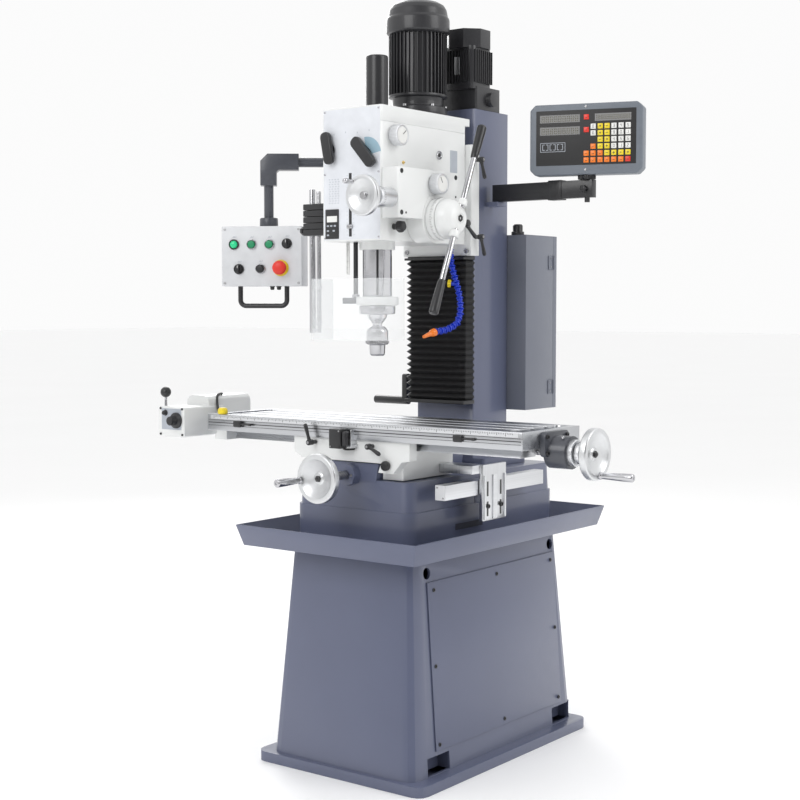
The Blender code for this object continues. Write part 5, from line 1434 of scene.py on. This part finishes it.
def digit(u, v, height, figure, out):
    """The bars of one figure, from its lower left corner; out is how far its face stands proud."""
    width, half = height * 0.5, height * 0.06
    bars = []
    for name in SHAPES[figure]:
        u0, v0, u1, v1 = SEGMENTS[name]
        bars.append(((u + u0 * width - half, -0.0250 - out - 0.0003, v + v0 * height - half),
                     (u + u1 * width + half, -0.0250 - out, v + v1 * height + half)))
    return bars


windows = [((-0.1218, -0.0262, 0.1360), (-0.0155, -0.0256, 0.1560)),
           ((-0.1218, -0.0262, 0.1040), (-0.0155, -0.0256, 0.1250)),
           ((0.0240, -0.0262, 0.1370), (0.1190, -0.0256, 0.1560))]
marks("console_windows", "readout_console", dark_glass, windows, console_place)
bars = []
for row_v in (0.1395, 0.1078):
    for i in range(9):
        bars += digit(-0.1165 + i * 0.0112, row_v, 0.0125, 8, 0.0012)
for i in range(12):
    bars += digit(0.0285 + i * 0.0074, 0.1415, 0.0100, 8, 0.0012)
marks("console_digits", "readout_console", segment_dim, bars, console_place)
print("digit bars:", len(bars))

# %% Keys
columns = (0.0018, 0.0199, 0.0385, 0.0563, 0.0743, 0.0929, 0.1112)
key_rows = (0.1237, 0.1064, 0.0893, 0.0720, 0.0544, 0.0371)
colours = ((None, "w", "y", "y", "w", "w", "w"), (None, "w", "y", "y", "w", "w", "w"),
           (None, None, "y", "y", "w", "w", "w"),
           (None, "o", "y", "y", "w", "w", "w"), ("o", "o", "o", "y", "y", "y", "y"),
           ("o", "o", "o", "o", "o", "o", "r"))
key_boxes = {"w": [], "y": [], "o": [], "r": []}
spots = [(column, row, colour) for row, line in zip(key_rows, colours) for column,
         colour in zip(columns, line) if colour]
spots += [(columns[0], 0.1483, "r"), (columns[0], 0.1155, "r")]
for u, v, colour in spots:
    key_boxes[colour].append(((u - 0.0068, -0.0276, v - 0.0068), (u + 0.0068, -0.0255, v + 0.0068)))
for colour, finish in (("w", white_plastic), ("y", yellow), ("o", orange), ("r", red)):
    marks(f"console_keys_{colour}", "readout_console", finish, key_boxes[colour], console_place,
          radius=0.0009)
print("keys:", len(spots))

# %% Figures on the keys and the pattern beside them
figures = []
for index, (u, v, colour) in enumerate(spots):
    if colour == "w":
        figures += digit(u - 0.0018, v - 0.0035, 0.0070, index % 10, 0.0024)
    elif colour == "y":
        figures.append(((u - 0.0030, -0.0279, v - 0.0007), (u + 0.0030, -0.0275, v + 0.0007)))
        if index % 2:
            figures.append(((u - 0.0007, -0.0279, v - 0.0030), (u + 0.0007, -0.0275, v + 0.0030)))
    else:
        figures.append(((u - 0.0024, -0.0279, v - 0.0018), (u + 0.0024, -0.0275, v - 0.0006)))
marks("console_key_figures", "readout_console", satin_black, figures, console_place)
pattern = [((-0.1206, -0.0261, z), (-0.0538, -0.0256, z + 0.0012)) for z in (0.0605, 0.0833)]
pattern += [((u, -0.0261, 0.0605), (u + 0.0012, -0.0256, 0.0845)) for u in (-0.1206, -0.0550)]
for i in range(6):
    pattern.append(((-0.1150 + i * 0.0098, -0.0261, 0.0650), (-0.1090 + i * 0.0098, -0.0256, 0.0664)))
    pattern.append(((-0.1150 + i * 0.0098, -0.0261, 0.0790), (-0.1090 + i * 0.0098, -0.0256, 0.0804)))
    pattern.append(((-0.1150 + i * 0.0098 + (0.0046 if i % 2 else 0.0), -0.0261, 0.0650),
                    (-0.1136 + i * 0.0098 + (0.0046 if i % 2 else 0.0), -0.0256, 0.0804)))
marks("console_pattern", "readout_console", pale_grey, pattern, console_place)
studs("console_side_screws", "readout_console", screw_steel,
      [console_place @ Vector((0.0, -0.0252, v)) for v in (0.0125, 0.1755)],
      tuple(console_place.to_3x3() @ Vector((0.0, -1.0, 0.0))), socket_head(0.0030, 0.0010))
print("figure bars:", len(figures))

# %% [markdown]
# ## Floor, world and light
# A pale floor and a nearly white sky keep the dark motors readable. One large soft light in front
# shapes the castings, a fill keeps the right side open, and a light behind draws a thin bright edge
# round the motor and the arms. A wide, weak sun overhead lifts the far floor to the sky's tone. The
# plain transform keeps whites white instead of rolling them off.


# %% Floor, world and lights
floor_mesh = bmesh.new()
bmesh.ops.create_grid(floor_mesh, x_segments=2, y_segments=2, size=60.0)
floor_data = bpy.data.meshes.new("floor")
floor_mesh.to_mesh(floor_data)
floor_mesh.free()
floor = bpy.data.objects.new("floor", floor_data)
bpy.context.scene.collection.objects.link(floor)
floor_finish = Finish("pale_floor", (0.98, 0.98, 0.98), 0.60)
floor_finish.tint(floor_finish.noise(0.8, 3.0), 0.985, 1.015)
floor_data.materials.append(floor_finish.material)

world = bpy.data.worlds.new("studio")
bpy.context.scene.world = world
world.use_nodes = True
background = world.node_tree.nodes["Background"]
background.inputs["Strength"].default_value = 0.97
direction = world.node_tree.nodes.new("ShaderNodeTexCoord")
facing = world.node_tree.nodes.new("ShaderNodeVectorMath")
facing.operation = "DOT_PRODUCT"
facing.inputs[1].default_value = (0.59, -0.81, 0.0)
shade = world.node_tree.nodes.new("ShaderNodeMapRange")
shade.interpolation_type = "SMOOTHSTEP"
for socket, value in (("From Min", 0.25), ("From Max", 0.80), ("To Min", 1.0), ("To Max", 0.22)):
    shade.inputs[socket].default_value = value
world.node_tree.links.new(direction.outputs["Generated"], facing.inputs[0])
world.node_tree.links.new(facing.outputs["Value"], shade.inputs["Value"])
world.node_tree.links.new(shade.outputs["Result"], background.inputs["Color"])


def softbox(name, place, target, size, power):
    data = bpy.data.lights.new(name, "AREA")
    data.shape = "RECTANGLE"
    data.size, data.size_y = size
    data.energy = power
    lamp = bpy.data.objects.new(name, data)
    bpy.context.scene.collection.objects.link(lamp)
    lamp.location = place
    lamp.rotation_euler = (Vector(target) - Vector(place)).to_track_quat("-Z", "Y").to_euler()
    return lamp


bpy.context.scene.view_settings.view_transform = "Standard"
softbox("key", (0.2, -4.2, 3.2), (0, 0, 1.1), (2.4, 2.4), 78.0)
softbox("fill", (3.5, 0.5, 3.1), (0, 0, 1.5), (2.0, 2.4), 44.0)
softbox("rim", (-3.2, 2.4, 3.4), (0, 0, 1.3), (1.6, 2.4), 50.0)
sky = bpy.data.lights.new("overhead", "SUN")
sky.energy, sky.angle = 0.35, math.radians(120)
overhead = bpy.data.objects.new("overhead", sky)
bpy.context.scene.collection.objects.link(overhead)
overhead.location = (0, 0, 5)
